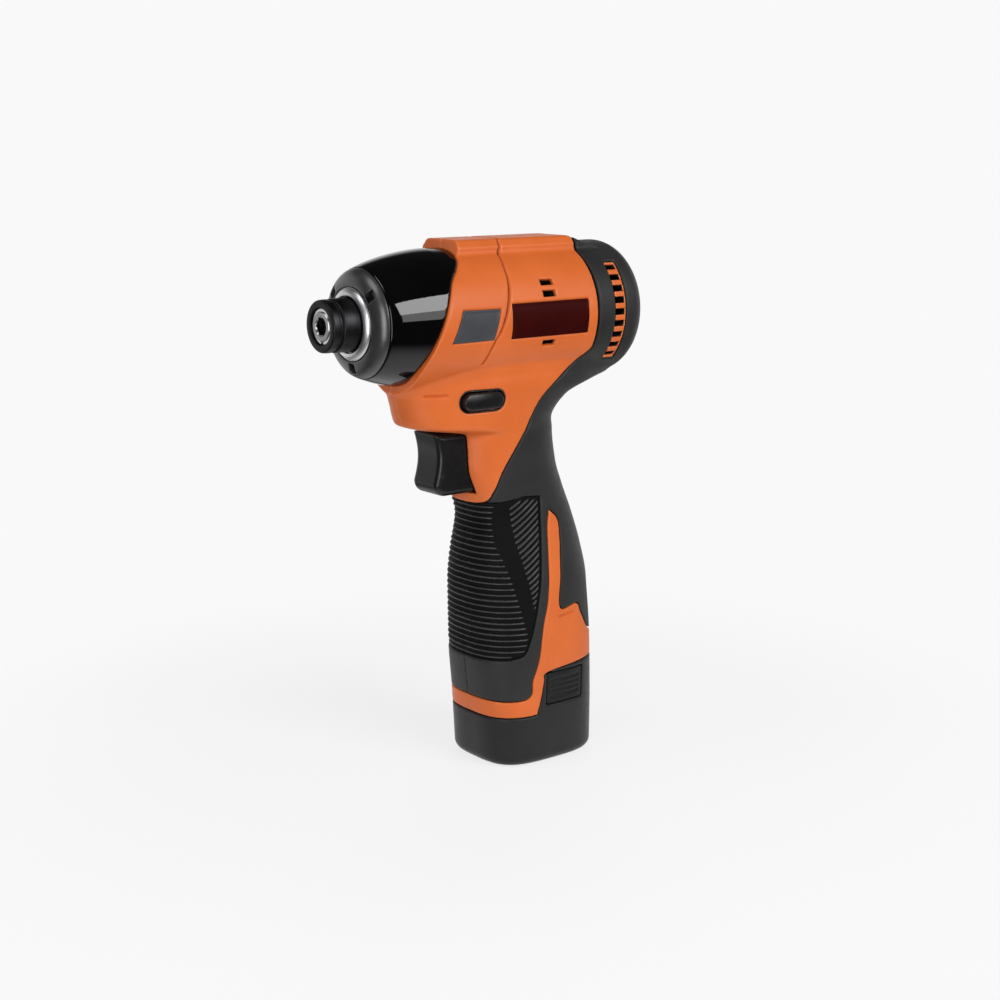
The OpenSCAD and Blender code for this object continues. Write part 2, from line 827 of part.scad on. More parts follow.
module nose_cover() {
    x0 = x_nose - nose_draw - cover_t;
    x1 = x_collar - fit;
    xs = nose_places(x0, x1);
    n = len(xs) - 1;
    outer = [for (x = xs) [x, nose_r(x)]];
    inner = [for (i = [n : -1 : 0]) [xs[i], min(case_r + fit, nose_r(xs[i]) - cover_t)]];
    color("black") intersection() {
        turned(concat(outer, inner));
        side_cut() nose_zone(seam);
    }
}

module nose_collar() {
    xs = nose_places(x_collar, x_nose);
    color("black") difference() {
        turned(concat([[x_collar, boss_r + fit]], [for (x = xs) [x, nose_r(x)]], [[x_nose, boss_r + fit]]));
        lamp_places(x_collar - over, collar_l + 2 * over, lens_r + fit / 2);
    }
}

// Cylinders at the lamps' places
module lamp_places(x, length, r) {
    orbit = (boss_r + nose_tip_r) / 2;
    for (a = lamp_angles)
        translate([0, orbit * cos(a), orbit * sin(a)]) along_axis(x) cylinder(r = r, h = length);
}

module lamp_lenses() {
    color("white") lamp_places(x_nose - lamp_l - tip_inset, lamp_l, lens_r);
}

// Impact mechanism

module hammer_case() {
    shoulder_x = x_case_wall + case_t;
    boss_x = shoulder_x + case_r - boss_r - 2 * cover_t;
    gear_x = x_flange + plate_gap;
    color("silver") difference() {
        turned([
            [x_gears, ring_gear_r + fit], [gear_x, ring_gear_r + fit], [gear_x, case_bore_r],
            [x_case_wall, case_bore_r], [x_case_wall, anvil_r + bushing_t],
            [x_bushing_end, anvil_r + bushing_t], [x_bushing_end, sleeve_r + pass_gap],
            [x_nose, sleeve_r + pass_gap], [x_nose, boss_r], [boss_x, boss_r],
            [shoulder_x, case_r - 2 * cover_t], [shoulder_x - 2 * cover_t, case_r], [x_gears, case_r]
        ]);
        case_screw_places() along_axis(x_gears - over)
            cylinder(r = case_screw_r, h = case_screw_l - bearing_w + over);
    }
}

// Copies children at the case screws' places
module case_screw_places() {
    orbit = (ring_gear_r + fit + case_r) / 2;
    round_axis(case_screws_n, 180 / case_screws_n) translate([0, 0, orbit]) children();
}

module case_screws() {
    x_plate = x_gears - bearing_w;
    color("dimgray") case_screw_places() {
        along_axis(x_plate) cylinder(r = case_screw_r - run_gap, h = case_screw_l - fit);
        along_axis(x_plate - case_screw_head) cylinder(r = case_screw_head_r, h = case_screw_head);
    }
}

module anvil_bushing() {
    color("goldenrod") ring(x_case_wall, bushing_l, anvil_r + bushing_t, anvil_r + run_gap);
}

module anvil() {
    wing_r = hammer_r - wing_in;
    hex_r = hex_af / sqrt(3);
    color("gray") difference() {
        union() {
            turned([
                [x_wing, 0], [x_wing, hub_r], [x_wing + lug_l, hub_r], [x_wing + lug_l, anvil_r],
                [x_bushing_end, anvil_r], [x_bushing_end, anvil_nose_r], [x_ring, anvil_nose_r],
                [x_ring, anvil_nose_r - ring_groove], [x_ring + ring_t, anvil_nose_r - ring_groove],
                [x_ring + ring_t, anvil_nose_r], [x_tip - edge_round / 2, anvil_nose_r],
                [x_tip, anvil_nose_r - edge_round / 2], [x_tip, 0]
            ]);
            intersection() {
                ring(x_wing, lug_l, wing_r, hub_r - wing_in);
                block([x_wing - over, -wing_w / 2, axis_h - 2 * wing_r],
                      [x_wing + lug_l + over, wing_w / 2, axis_h + 2 * wing_r]);
            }
        }
        along_axis(x_tip - hex_depth) rotate([0, 0, 30])
            cylinder(r = (hex_af + run_gap) / sqrt(3), h = hex_depth + over, $fn = 6);
        along_axis(x_tip - edge_round)
            cylinder(r1 = hex_r - edge_round / 2, r2 = hex_r + edge_round, h = 2 * edge_round);
        along_axis(x_wing - over) cylinder(r = pilot_r + run_gap, h = pilot_l + over + plate_gap);
        round_axis(bit_balls_n) along_axis(x_shoulder + shoulder_l / 2) rotate([0, -90, 0])
            cylinder(r = bit_ball_r + run_gap / 2, h = 2 * anvil_r);
    }
}

module bit_balls() {
    orbit = anvil_nose_r - bit_ball_r + run_gap;
    color("lightgray") round_axis(bit_balls_n) translate([x_shoulder + shoulder_l / 2, 0, axis_h + orbit])
        sphere(r = bit_ball_r);
}

module collet_sleeve() {
    x0 = x_sleeve;
    x1 = x_sleeve + sleeve_l;
    x_cone = x1 - flange_l - waist_l - cone_l;
    x_waist = x_cone + cone_l;
    x_lip = x_waist + waist_l;
    color("dimgray") turned([
        [x0, anvil_r + run_gap], [x_shoulder, anvil_r + run_gap], [x_shoulder, anvil_nose_r + run_gap],
        [x_spring, anvil_nose_r + run_gap], [x_spring, sleeve_bore_r], [x1, sleeve_bore_r],
        [x1, flange_r - edge_round], [x1 - edge_round, flange_r], [x_lip + edge_round, flange_r],
        [x_lip, flange_r - edge_round], [x_lip, waist_r], [x_waist, waist_r], [x_cone, sleeve_r],
        [x0 + edge_round, sleeve_r], [x0, sleeve_r - edge_round]
    ]);
}

module sleeve_spring() {
    color("silver") along_axis(x_spring + fit / 2)
        coil(x_washer - x_spring - fit, (anvil_nose_r + sleeve_bore_r) / 2, sleeve_wire_r, sleeve_turns);
}

module sleeve_washer() {
    color("silver") ring(x_washer, washer_t, sleeve_bore_r - fit, anvil_nose_r + run_gap / 2);
}

module retaining_ring() {
    gap = 2;
    color("silver") difference() {
        ring(x_ring, ring_t, sleeve_bore_r - 2 * fit, anvil_nose_r - ring_groove + run_gap / 2);
        block([x_ring - over, -gap / 2, axis_h - 2 * sleeve_bore_r],
              [x_ring + ring_t + over, gap / 2, axis_h]);
    }
}

module hammer() {
    wall = spring_mid_r - hammer_wire_r - 2 * pass_gap;
    deep = spring_mid_r + hammer_wire_r + pass_gap;
    color("slategray") difference() {
        union() {
            turned([
                [x_hammer, deep], [x_hammer + pocket_l, deep],
                [x_hammer + pocket_l, wall], [x_hammer, wall],
                [x_hammer, spindle_r + run_gap], [x_face, spindle_r + run_gap], [x_face, hammer_r],
                [x_hammer, hammer_r]
            ]);
            intersection() {
                ring(x_face, lug_l, hammer_r, lug_in_r);
                block([x_face, -2 * hammer_r, axis_h - lug_w / 2],
                      [x_face + lug_l, 2 * hammer_r, axis_h + lug_w / 2]);
            }
        }
        round_axis(2) translate([0, 0, spindle_r + cam_seat]) {
            along_axis(x_cam_ball) cylinder(r = cam_ball_r + cam_seat, h = hammer_l);
            translate([x_cam_ball, 0, axis_h]) sphere(r = cam_ball_r + cam_seat);
        }
    }
}

module hammer_spring() {
    color("silver") along_axis(x_seat + seat_t + fit / 2)
        coil(x_hammer + pocket_l - x_seat - seat_t - fit, spring_mid_r, hammer_wire_r, spring_turns);
}

module spring_seat() {
    half_w = hammer_wire_r + pass_gap / 2;
    color("silver") ring(x_seat, seat_t, spring_mid_r + half_w, spring_mid_r - half_w);
}

module cam_balls() {
    color("lightgray") round_axis(2) translate([x_cam_ball, 0, axis_h + spindle_r + cam_seat])
        sphere(r = cam_ball_r);
}

module spindle() {
    x_hub = x_gears - carrier_bearing_w;
    x_inner = x_planet - plate_gap;
    x_plate = x_inner - carrier_t;
    x_step = x_face - plate_gap;
    x_pilot = x_wing + pilot_l;
    color("gray") difference() {
        union() {
            turned([
                [x_flange, 0], [x_pilot, 0], [x_pilot, pilot_r], [x_step, pilot_r],
                [x_step, spindle_r], [x_seat, spindle_r], [x_seat, carrier_r], [x_flange, carrier_r]
            ]);
            turned([
                [x_hub, carrier_bore_r], [x_inner, carrier_bore_r], [x_inner, carrier_r],
                [x_plate, carrier_r], [x_plate, carrier_hub_r], [x_hub, carrier_hub_r]
            ]);
            round_axis(planets, 60) translate([0, 0, pillar_orbit])
                along_axis(x_inner) cylinder(r = pillar_r, h = planet_w + 2 * plate_gap);
        }
        round_axis(planets) translate([0, 0, planet_orbit])
            along_axis(x_gears) cylinder(r = pin_r, h = x_seat - x_gears + over);
        round_axis(2) for (tilt = [-cam_tilt, cam_tilt])
            translate([x_cam_ball, 0, axis_h + spindle_r + cam_seat]) rotate([0, 90, tilt])
                cylinder(r = cam_ball_r + run_gap, h = 4 * cam_ball_r, center = true);
    }
}

// Gears

// Involute of an angle, in degrees
function involute(a) = tan(a) * 180 / PI - a;

// Half angle of a tooth at a radius
function tooth_half(teeth, r, slack) =
    let (pitch_r = gear_m * teeth / 2, base_r = pitch_r * cos(pressure))
    (90 - slack * 90 / gear_m / PI) / teeth + involute(pressure) - involute(acos(min(base_r / r, 1)));

// Outline of a gear with a tooth on its first axis, from its root to its tip radius
function gear_points(teeth, root_r, tip_r, slack) =
    let (mid_r = gear_m * teeth / 2,
         radii = [root_r, (root_r + mid_r) / 2, mid_r, (mid_r + tip_r) / 2, tip_r])
    [
        for (i = [0 : teeth - 1]) for (side = [-1, 1]) for (k = [0 : len(radii) - 1])
        let (r = side < 0 ? radii[k] : radii[len(radii) - 1 - k],
             a = 360 * i / teeth + side * tooth_half(teeth, r, slack))
        [r * cos(a), r * sin(a)]
    ];

// Gear with outward teeth
module spur(teeth, slack) {
    pitch_r = gear_m * teeth / 2;
    polygon(gear_points(teeth, pitch_r - gear_m * dedendum_share, pitch_r + gear_m, slack));
}

module ring_gear() {
    pitch_r = gear_m * ring_teeth / 2;
    color("gray") along_axis(x_gears) linear_extrude(x_flange - x_gears) difference() {
        circle(ring_gear_r);
        polygon(gear_points(ring_teeth, ring_tip_r, pitch_r + gear_m * dedendum_share, -backlash));
    }
}

// Planet gear at one of the equal angles round the sun
module planet_gear(i) {
    color("lightgray") round_axis(1, 360 * i / planets) translate([0, 0, planet_orbit])
        along_axis(x_planet) linear_extrude(planet_w) difference() {
            spur(planet_teeth, backlash);
            circle(pin_r + run_gap);
        }
}

module planet_gear_1() {
    planet_gear(0);
}

module planet_gear_2() {
    planet_gear(1);
}

module planet_gear_3() {
    planet_gear(2);
}

module planet_pins() {
    x_pin = x_gears + plate_gap + tip_inset;
    color("silver") round_axis(planets) translate([0, 0, planet_orbit])
        along_axis(x_pin) cylinder(r = pin_r, h = x_seat - x_pin);
}

// Bearings and bracket

// Ball bearing: two races and the balls between them
module bearing(x, width, outer, inner, balls) {
    gap = (outer - inner) * race_share;
    ball_r = (outer - inner) / 2 - gap + min(gap, width) / 4;
    mid = (outer + inner) / 2;
    groove = ball_r + ball_gap;
    difference() {
        union() {
            ring(x, width, outer, outer - gap);
            ring(x, width, inner + gap, inner);
        }
        translate([x + width / 2, 0, axis_h]) rotate([0, 90, 0])
            rotate_extrude() translate([mid, 0]) circle(groove);
    }
    round_axis(balls) translate([x + width / 2, 0, axis_h + mid]) sphere(r = ball_r);
}

module carrier_bearing() {
    color("silver") bearing(x_gears - carrier_bearing_w, carrier_bearing_w, carrier_bearing_r,
                            carrier_hub_r + run_gap / 2, carrier_balls);
}

module front_bearing() {
    color("silver") bearing(x_bracket, bearing_w, bearing_r, shaft_r + run_gap / 2, motor_balls);
}

module rear_bearing() {
    color("silver") bearing(x_wall, bearing_w, bearing_r, shaft_r + run_gap / 2, motor_balls);
}

module motor_bracket() {
    lip = 1.2;
    x_web = x_bracket + bearing_w;
    x_seat_end = x_gears - carrier_bearing_w;
    x_plate = x_gears - bearing_w;
    small_seat_r = bearing_r + fit / 2;
    large_seat_r = carrier_bearing_r + fit / 2;
    color("silver") difference() {
        turned([
            [x_bracket, small_seat_r], [x_web, small_seat_r], [x_web, carrier_bore_r],
            [x_seat_end, carrier_bore_r], [x_seat_end, large_seat_r], [x_gears, large_seat_r],
            [x_gears, case_r], [x_plate, case_r], [x_plate, carrier_bearing_r + lip],
            [x_web, carrier_bearing_r + lip], [x_bracket + lip, bearing_r + 2 * lip],
            [x_bracket, bearing_r + 2 * lip]
        ]);
        case_screw_places() along_axis(x_plate - over) cylinder(r = case_screw_r, h = bearing_w + 2 * over);
    }
}

// Motor

module motor_shaft() {
    x_end = x_wall + tip_inset;
    x_pinion = x_gears - carrier_bearing_w + plate_gap;
    x_front = x_planet + planet_w;
    color("lightgray") {
        along_axis(x_end) cylinder(r = shaft_r, h = x_pinion - x_end);
        along_axis(x_pinion) linear_extrude(x_front - x_pinion)
            rotate(180 / sun_teeth) spur(sun_teeth, backlash);
    }
}

module rotor_core() {
    color("dimgray") ring(x_core - tip_inset, core_l + 2 * tip_inset, rotor_r, shaft_r + run_gap / 2);
}

module fan() {
    root_r = fan_hub_r - over_t;
    color("black") {
        ring(x_fan, fan_w, fan_hub_r, shaft_r + run_gap / 2);
        ring(x_fan + fan_w - fan_disc_t, fan_disc_t, fan_r, root_r);
        round_axis(blades_n) intersection() {
            ring(x_fan, fan_w - fan_disc_t / 2, fan_r - plate_gap, fan_eye_r);
            translate([x_fan, 0, axis_h]) rotate([blade_lean, 0, 0]) translate([0, fan_eye_r / 2, 0])
                cube([fan_w, blade_fan_t, 2 * fan_r]);
        }
    }
}

module stator_core() {
    bore_r = rotor_r + air_gap;
    tooth_l = stator_r - yoke_t - bore_r + 2 * shoe_t;
    color("slategray") along_axis(x_core) linear_extrude(core_l) {
        difference() {
            circle(stator_r);
            circle(stator_r - yoke_t);
        }
        for (i = [0 : teeth_n - 1]) rotate(360 * i / teeth_n) {
            difference() {
                translate([bore_r - shoe_t, -tooth_w / 2]) square([tooth_l, tooth_w]);
                circle(bore_r);
            }
            intersection() {
                difference() {
                    circle(bore_r + shoe_t);
                    circle(bore_r);
                }
                polygon([[0, 0], [2 * stator_r, -2 * stator_r * tan(shoe_angle / 2)],
                         [2 * stator_r, 2 * stator_r * tan(shoe_angle / 2)]]);
            }
        }
    }
}

module stator_coils() {
    r0 = rotor_r + air_gap + shoe_t + fit;
    half_w = tooth_w / 2 + fit;
    r1 = sqrt(pow(stator_r - yoke_t - fit, 2) - pow(half_w + coil_t, 2));
    ends = coil_over - fit;
    color("peru") round_axis(teeth_n) difference() {
        block([x_core - ends, -half_w - coil_t, axis_h + r0],
              [x_core + core_l + ends, half_w + coil_t, axis_h + r1]);
        block([x_core - fit, -half_w, axis_h + r0 - over],
              [x_core + core_l + fit, half_w, axis_h + r1 + over]);
    }
}

module motor_board() {
    color("green") ring(x_board, board_t, stator_r, bearing_r + boss_t);
}

// Controls

// Side view of the trigger: dished front, round foot and a lip at the top
module trigger_outline() {
    r = trigger_foot_round;
    dish = [
        for (t = [0 : 1 / 8 : 1])
        [trigger_depth - trigger_dish * sin(180 * t), trigger_h - t * (trigger_h - r)]
    ];
    foot = [for (a = [-15 : -15 : -90]) [trigger_depth - r + r * cos(a), r * (1 + sin(a))]];
    polygon(concat([[0, trigger_h]], dish, foot, [[0, 0]]));
}

module trigger() {
    color("black") {
        intersection() {
            translate([x_trigger, 0, trigger_foot]) rotate([90, 0, 0])
                linear_extrude(trigger_w, center = true) trigger_outline();
            translate([0, 0, trigger_foot]) linear_extrude(trigger_h) trigger_plan();
        }
        along_bar(x_switch - plunger_in, x_trigger + over, plunger_r, trigger_z);
    }
}

// Plan of the trigger with rounded front corners
module trigger_plan() {
    r = trigger_round;
    translate([x_trigger, -trigger_w / 2]) square([trigger_depth - r, trigger_w]);
    translate([x_trigger, -trigger_w / 2 + r]) square([trigger_depth, trigger_w - 2 * r]);
    for (s = [-1, 1]) translate([trigger_reach - r, s * (trigger_w / 2 - r)]) circle(r);
}

// Round bar along X at a height
module along_bar(x0, x1, r, z) {
    translate([x0, 0, z]) rotate([0, 90, 0]) cylinder(r = r, h = x1 - x0);
}

module trigger_spring() {
    color("silver") translate([x_switch + fit / 2, 0, trigger_z]) rotate([0, 90, 0])
        coil(spring_room - fit, plunger_r + trigger_wire_r + pass_gap, trigger_wire_r, trigger_turns);
}

module switch_body() {
    color("dimgray") difference() {
        block([x_switch - switch_l, -switch_w / 2, switch_z],
              [x_switch, switch_w / 2, switch_z + switch_h]);
        along_bar(x_switch - plunger_in - trigger_travel - over, x_switch + over, plunger_r + pass_gap,
                  trigger_z);
    }
}

module selector() {
    color("dimgray") translate([0, selector_reach, 0]) rotate([90, 0, 0])
        linear_extrude(2 * selector_reach) pill(selector_x, selector_z, selector_l, selector_h);
}

module control_board() {
    chip_z = control_z + board_t;
    color("green") block([control_x - board_l / 2, -board_w / 2, control_z],
                         [control_x + board_l / 2, board_w / 2, chip_z]);
    color("black") for (s = [-1, 0, 1]) {
        x = control_x + s * (chip_l + board_t);
        block([x - chip_l / 2, -chip_w / 2, chip_z], [x + chip_l / 2, chip_w / 2, chip_z + chip_h]);
    }
}

module terminal_block() {
    half_l = tower_l / 2 + terminal_lip;
    half_w = tower_w / 2 + terminal_lip;
    color("black") block([tower_x - half_l, -half_w, terminal_z],
                         [tower_x + half_l, half_w, terminal_z + terminal_t]);
    color("goldenrod") for (y = blade_rows())
        block([tower_x - blade_w / 2, y - blade_t / 2, terminal_z - tower_h + cap_t],
              [tower_x + blade_w / 2, y + blade_t / 2, terminal_z]);
}

// Rows of the battery's contacts
function blade_rows() = [for (i = [0 : blades - 1]) (i - (blades - 1) / 2) * blade_pitch];

// Battery

// Plan of the stem round the three cells, grown by a gap; its flats lie a little inside the rounds
module stem_outline(gap) {
    r = stem_r + gap;
    flat = r - fit;
    turn = 30;
    for (p = cell_places) translate(p) circle(r);
    polygon([
        cell_places[0] + flat * [-sin(turn), -cos(turn)], cell_places[2] + flat * [-sin(turn), -cos(turn)],
        cell_places[2] + [flat, 0], cell_places[1] + [flat, 0],
        cell_places[1] + flat * [-sin(turn), cos(turn)], cell_places[0] + flat * [-sin(turn), cos(turn)]
    ]);
}

// Round columns from a height at the cells' places
module cell_columns(z, r, length) {
    for (p = cell_places) translate([p[0], p[1], z]) cylinder(r = r, h = length);
}

module battery_stem() {
    room = blade_w / 2 + blade_room;
    color("dimgray") difference() {
        union() {
            translate([0, 0, stem_z]) linear_extrude(stem_top - stem_z) stem_outline(0);
            block([tower_x - tower_l / 2, -tower_w / 2, stem_top - cap_t],
                  [tower_x + tower_l / 2, tower_w / 2, tower_top]);
        }
        cell_columns(cell_z, cell_r + cell_room, cell_l + plate_gap);
        for (y = blade_rows())
            block([tower_x - room, y - blade_room, stem_top],
                  [tower_x + room, y + blade_room, tower_top + over]);
    }
}

module battery_cells() {
    color("steelblue") cell_columns(cell_z + fit / 2, cell_r, cell_l);
}

module battery_contacts() {
    near = blade_t / 2 + run_gap;
    color("goldenrod") for (y = blade_rows()) for (y0 = [y + near, y - near - contact_t])
        block([tower_x - blade_w / 2, y0, stem_top],
              [tower_x + blade_w / 2, y0 + contact_t, tower_top - contact_base]);
}

// Space of a latch in the battery's side, grown by a gap
module latch_space(side, gap, depth) {
    x0 = palm_l * latch_x_shares[0] - gap;
    x1 = palm_l * latch_x_shares[1] + gap;
    z0 = axis_h * latch_z_shares[0] - gap;
    z1 = axis_h * latch_z_shares[1] + gap;
    y = palm_w / 2 - depth;
    block([x0, side > 0 ? y : -wide, z0], [x1, side > 0 ? wide : -y, z1]);
}

module battery_base() {
    color("dimgray") difference() {
        intersection() {
            union() {
                foot_form(0);
                difference() {
                    grip_form(0);
                    block([-wide, -wide, -over], [wide, wide, foot_round]);
                }
            }
            side_cut() rim_zone(seam);
        }
        translate([0, 0, floor_t]) linear_extrude(axis_h) stem_outline(fit);
        for (s = [-1, 1]) latch_space(s, seam, latch_well);
        for (s = [-1, 1]) latch_tab(s, seam, latch_travel);
    }
}

// Tab behind the shell, with its foot on the latch, widened by a gap and by the latch's way in
module latch_tab(side, gap, way) {
    x0 = latch_spring_x - latch_tab_l / 2 - gap;
    x1 = latch_spring_x + latch_tab_l / 2 + gap;
    y0 = palm_w / 2 - latch_tab_in - latch_tab_t - gap - way;
    y1 = palm_w / 2 - latch_tab_in + gap;
    z1 = axis_h * latch_z_shares[1];
    z0 = z1 - latch_tab_h - gap;
    block([x0, side > 0 ? y0 : -y1, z0], [x1, side > 0 ? y1 : -y0, z1 + latch_tab_h + gap]);
    block([x0, side > 0 ? y0 : -palm_w / 2, z0], [x1, side > 0 ? palm_w / 2 : -y0, z1]);
}

module latch(side) {
    color("black") {
        intersection() {
            difference() {
                grip_form(0);
                grip_form(latch_t);
            }
            latch_space(side, 0, wide / 2);
            half(side) block([-wide, -wide, 0], [wide, wide, axis_h]);
        }
        intersection() {
            latch_tab(side, 0, 0);
            grip_form(latch_t / 2);
        }
    }
}

module left_latch() {
    latch(1);
}

module right_latch() {
    latch(-1);
}

module latch_springs() {
    z = axis_h * latch_z_shares[0] + latch_spring_r + 2 * latch_wire_r;
    y0 = palm_w / 2 - latch_well + fit / 2;
    y1 = palm_w * grip_shares[1][3] - latch_t - 2 * fit;
    color("silver") for (s = [-1, 1])
        translate([latch_spring_x, s * y0, z]) rotate([-90 * s, 0, 0])
            coil(y1 - y0, latch_spring_r, latch_wire_r, latch_turns);
}

// Fasteners

module housing_screws() {
    color("dimgray") for (p = screw_places) {
        cross_bar(p[0], p[1], screw_r, -screw_seat, screw_l - screw_seat);
        cross_bar(p[0], p[1], screw_head_r, -screw_seat - screw_head_t, -screw_seat);
    }
}

left_housing();
right_housing();
left_grip();
right_grip();
nose_cover();
nose_collar();
lamp_lenses();
hammer_case();
anvil_bushing();
anvil();
bit_balls();
collet_sleeve();
sleeve_spring();
sleeve_washer();
retaining_ring();
hammer();
hammer_spring();
spring_seat();
cam_balls();
spindle();
planet_pins();
planet_gear_1();
planet_gear_2();
planet_gear_3();
ring_gear();
carrier_bearing();
motor_bracket();
case_screws();
front_bearing();
rear_bearing();
motor_shaft();
rotor_core();
fan();
stator_core();
stator_coils();
motor_board();
trigger();
trigger_spring();
switch_body();
selector();
control_board();
terminal_block();
battery_base();
battery_stem();
battery_cells();
battery_contacts();
left_latch();
right_latch();
latch_springs();
housing_screws();
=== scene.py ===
"""Looks of a compact impact driver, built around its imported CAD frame.

The moulded pieces are distance fields in millimetres, meshed on a fine grid, so that every edge has
a true round and the seams, ribs and grooves are real geometry. The turned pieces are lathed. The
mechanism inside keeps its CAD solids and gets materials.
"""

import json
import math

import bpy
import numpy as np
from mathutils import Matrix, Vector


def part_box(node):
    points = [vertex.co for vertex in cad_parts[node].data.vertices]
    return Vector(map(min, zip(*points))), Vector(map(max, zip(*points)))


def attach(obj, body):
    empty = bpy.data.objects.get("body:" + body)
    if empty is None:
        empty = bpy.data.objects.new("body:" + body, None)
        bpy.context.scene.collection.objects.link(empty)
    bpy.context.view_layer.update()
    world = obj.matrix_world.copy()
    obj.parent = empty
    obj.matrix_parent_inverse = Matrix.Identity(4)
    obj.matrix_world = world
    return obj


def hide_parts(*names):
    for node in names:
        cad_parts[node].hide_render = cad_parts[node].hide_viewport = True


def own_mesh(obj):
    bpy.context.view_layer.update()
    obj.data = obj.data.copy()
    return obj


MM = 0.001
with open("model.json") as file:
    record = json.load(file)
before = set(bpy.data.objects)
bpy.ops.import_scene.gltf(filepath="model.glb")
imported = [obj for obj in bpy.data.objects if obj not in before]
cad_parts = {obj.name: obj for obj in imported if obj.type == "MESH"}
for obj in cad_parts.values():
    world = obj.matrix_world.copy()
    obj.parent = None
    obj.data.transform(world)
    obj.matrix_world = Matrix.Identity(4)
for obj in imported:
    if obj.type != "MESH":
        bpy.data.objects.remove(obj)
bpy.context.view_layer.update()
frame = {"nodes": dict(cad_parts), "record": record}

# Sizes of the tool in millimetres, the same as in the part's source
AXIS_H = 185.2
PALM_L = 58.0
PALM_W = 48.8
HEAD_R = 27.34
REAR_ROUND = 8.0
FOOT_ROUND = 4.0
X_REAR = -43.5
X_NOSE = 83.4
X_COLLAR = 79.4
X_TIP = 96.5
HEAD_L = X_NOSE - X_REAR
NOSE_TIP_R = 17.8
NOSE_DRAW = 33.3
NOSE_POWERS = (1.5, 1.7)
CASE_R = 23.94
BOSS_R = 13.8
RIDGE_RISE = 2.9
RIDGE_W = 19.0
RIDGE_FLANK = 2.4
RIDGE_DEPTH = 6.0
RIDGE_START = X_REAR + 0.17 * HEAD_L
RIDGE_RAMP = 0.045 * HEAD_L
RIDGE_ROUND = 0.9
RIDGE_END_ROUND = 1.2
RIDGE_FILLET = 1.2
NECK_FILLET = 3.5
GRIP_TOP_ROUND = 2.0
OVER_T = 1.2
WALL_T = 3.2
WIDE = 60.0

# Rings of the grip as shares: height, rear, front and half width; the last value is the squareness
GRIP_SHARES = np.array([
    [0, -0.462, 0.462, 0.465, 3.2],
    [0.14, -0.466, 0.491, 0.484, 3],
    [0.27, -0.466, 0.534, 0.5, 2.7],
    [0.405, -0.44, 0.552, 0.5, 2.5],
    [0.486, -0.388, 0.534, 0.463, 2.5],
    [0.557, -0.319, 0.509, 0.416, 2.5],
    [0.62, -0.245, 0.569, 0.385, 2.5],
    [0.675, -0.19, 0.638, 0.373, 2.5],
    [0.752, -0.155, 0.655, 0.379, 2.5],
    [0.774, -0.17, 1.03, 0.385, 2.5],
    [0.82, -0.32, 1.085, 0.4, 2.4],
    [0.864, -0.66, 1.12, 0.42, 2.4],
    [0.9, -0.66, 1.06, 0.4, 2.4],
])
NOSE_EDGE_SHARES = [
    [0.668, 1.4], [0.668, 1.05], [0.682, 0.86], [0.712, 0.72], [0.755, 0.53],
    [0.795, 0.13], [0.834, -0.33], [0.853, -0.56], [0.86, -0.72], [0.858, -0.86],
    [0.86, -0.98], [0.874, -1.08], [0.9, -1.2],
]
FIELD_RING_SHARE = 0.213
FIELD_EDGE_SHARES = [
    [0.213, -0.5], [0.232, -0.6], [0.29, -0.81], [0.345, -1], [0.392, -1.23], [0.445, -1.62],
    [0.525, -2.18], [0.552, -2.52], [0.572, -2.7], [0.64, -2.74], [0.72, -2.74],
]
STRIPE_FRONT_SHARES = [
    [0.7, 0.158], [0.27, 0.155], [0.219, 0.2], [0.172, 0.245], [0.14, 0.318], [0.107, 0.364],
    [0.095, 0.4], [0.087, 0.443], [0.066, 0.53], [0.036, 0.574],
]
STRIPE_REAR_SHARES = [
    [0.036, 0.574], [-0.034, 0.551], [-0.036, 0.512], [-0.014, 0.437], [-0.006, 0.355],
    [-0.172, 0.356], [-0.224, 0.331], [-0.32, 0.29], [-0.48, 0.27], [-0.7, 0.262],
]
RIM_SHARES = [
    [0.7, 0.117], [0.228, 0.117], [0.175, 0.127], [0.145, 0.163], [0.128, 0.195], [0.098, 0.213],
    [-0.25, 0.223], [-0.7, 0.226],
]
SCREW_PLACES = [
    [53.94, 153.86], [2.32, 153.86], [-4.52, 133.34], [23.2, 109.64], [-9.86, 108.34], [22.64, 37.04],
    [-21.5, 61.12],
]


# Distance fields: negative inside, in millimetres


def round_max(a, b, r):
    """Common part of two fields, with its edge rounded to radius r, or sharp where that is 0."""
    if r == 0:
        return np.maximum(a, b)
    corner = np.hypot(np.maximum(a + r, 0), np.maximum(b + r, 0))
    return np.minimum(np.maximum(a, b), -r) + corner


def round_min(a, b, r):
    """Both fields together, with a fillet of radius r between them."""
    return -round_max(-a, -b, r)


def ramp(value, low, high):
    """Smooth step from 0 at low to 1 at high."""
    t = np.clip((value - low) / (high - low), 0, 1)
    return t * t * (3 - 2 * t)


def curve(points, steps=6):
    """Smooth curve through a list of points, by Catmull and Rom's rule."""
    p = np.array(points, float)
    padded = np.vstack([p[:1], p, p[-1:]])
    found = []
    for i in range(len(p) - 1):
        a, b, c, d = padded[i:i + 4]
        for t in np.arange(steps) / steps:
            found.append((2 * b + (c - a) * t + (2 * a - 5 * b + 4 * c - d) * t * t
                          + (3 * b - a - 3 * c + d) * t ** 3) / 2)
    return np.array(found + [p[-1]])


def on_head(shares):
    """Points in the side view from shares of the head's length and radius."""
    return [[X_REAR + s[0] * HEAD_L, AXIS_H + s[1] * HEAD_R] for s in shares]


def on_grip(shares):
    """Points in the side view from shares of the palm's length and the axis height."""
    return [[s[0] * PALM_L, s[1] * AXIS_H] for s in shares]


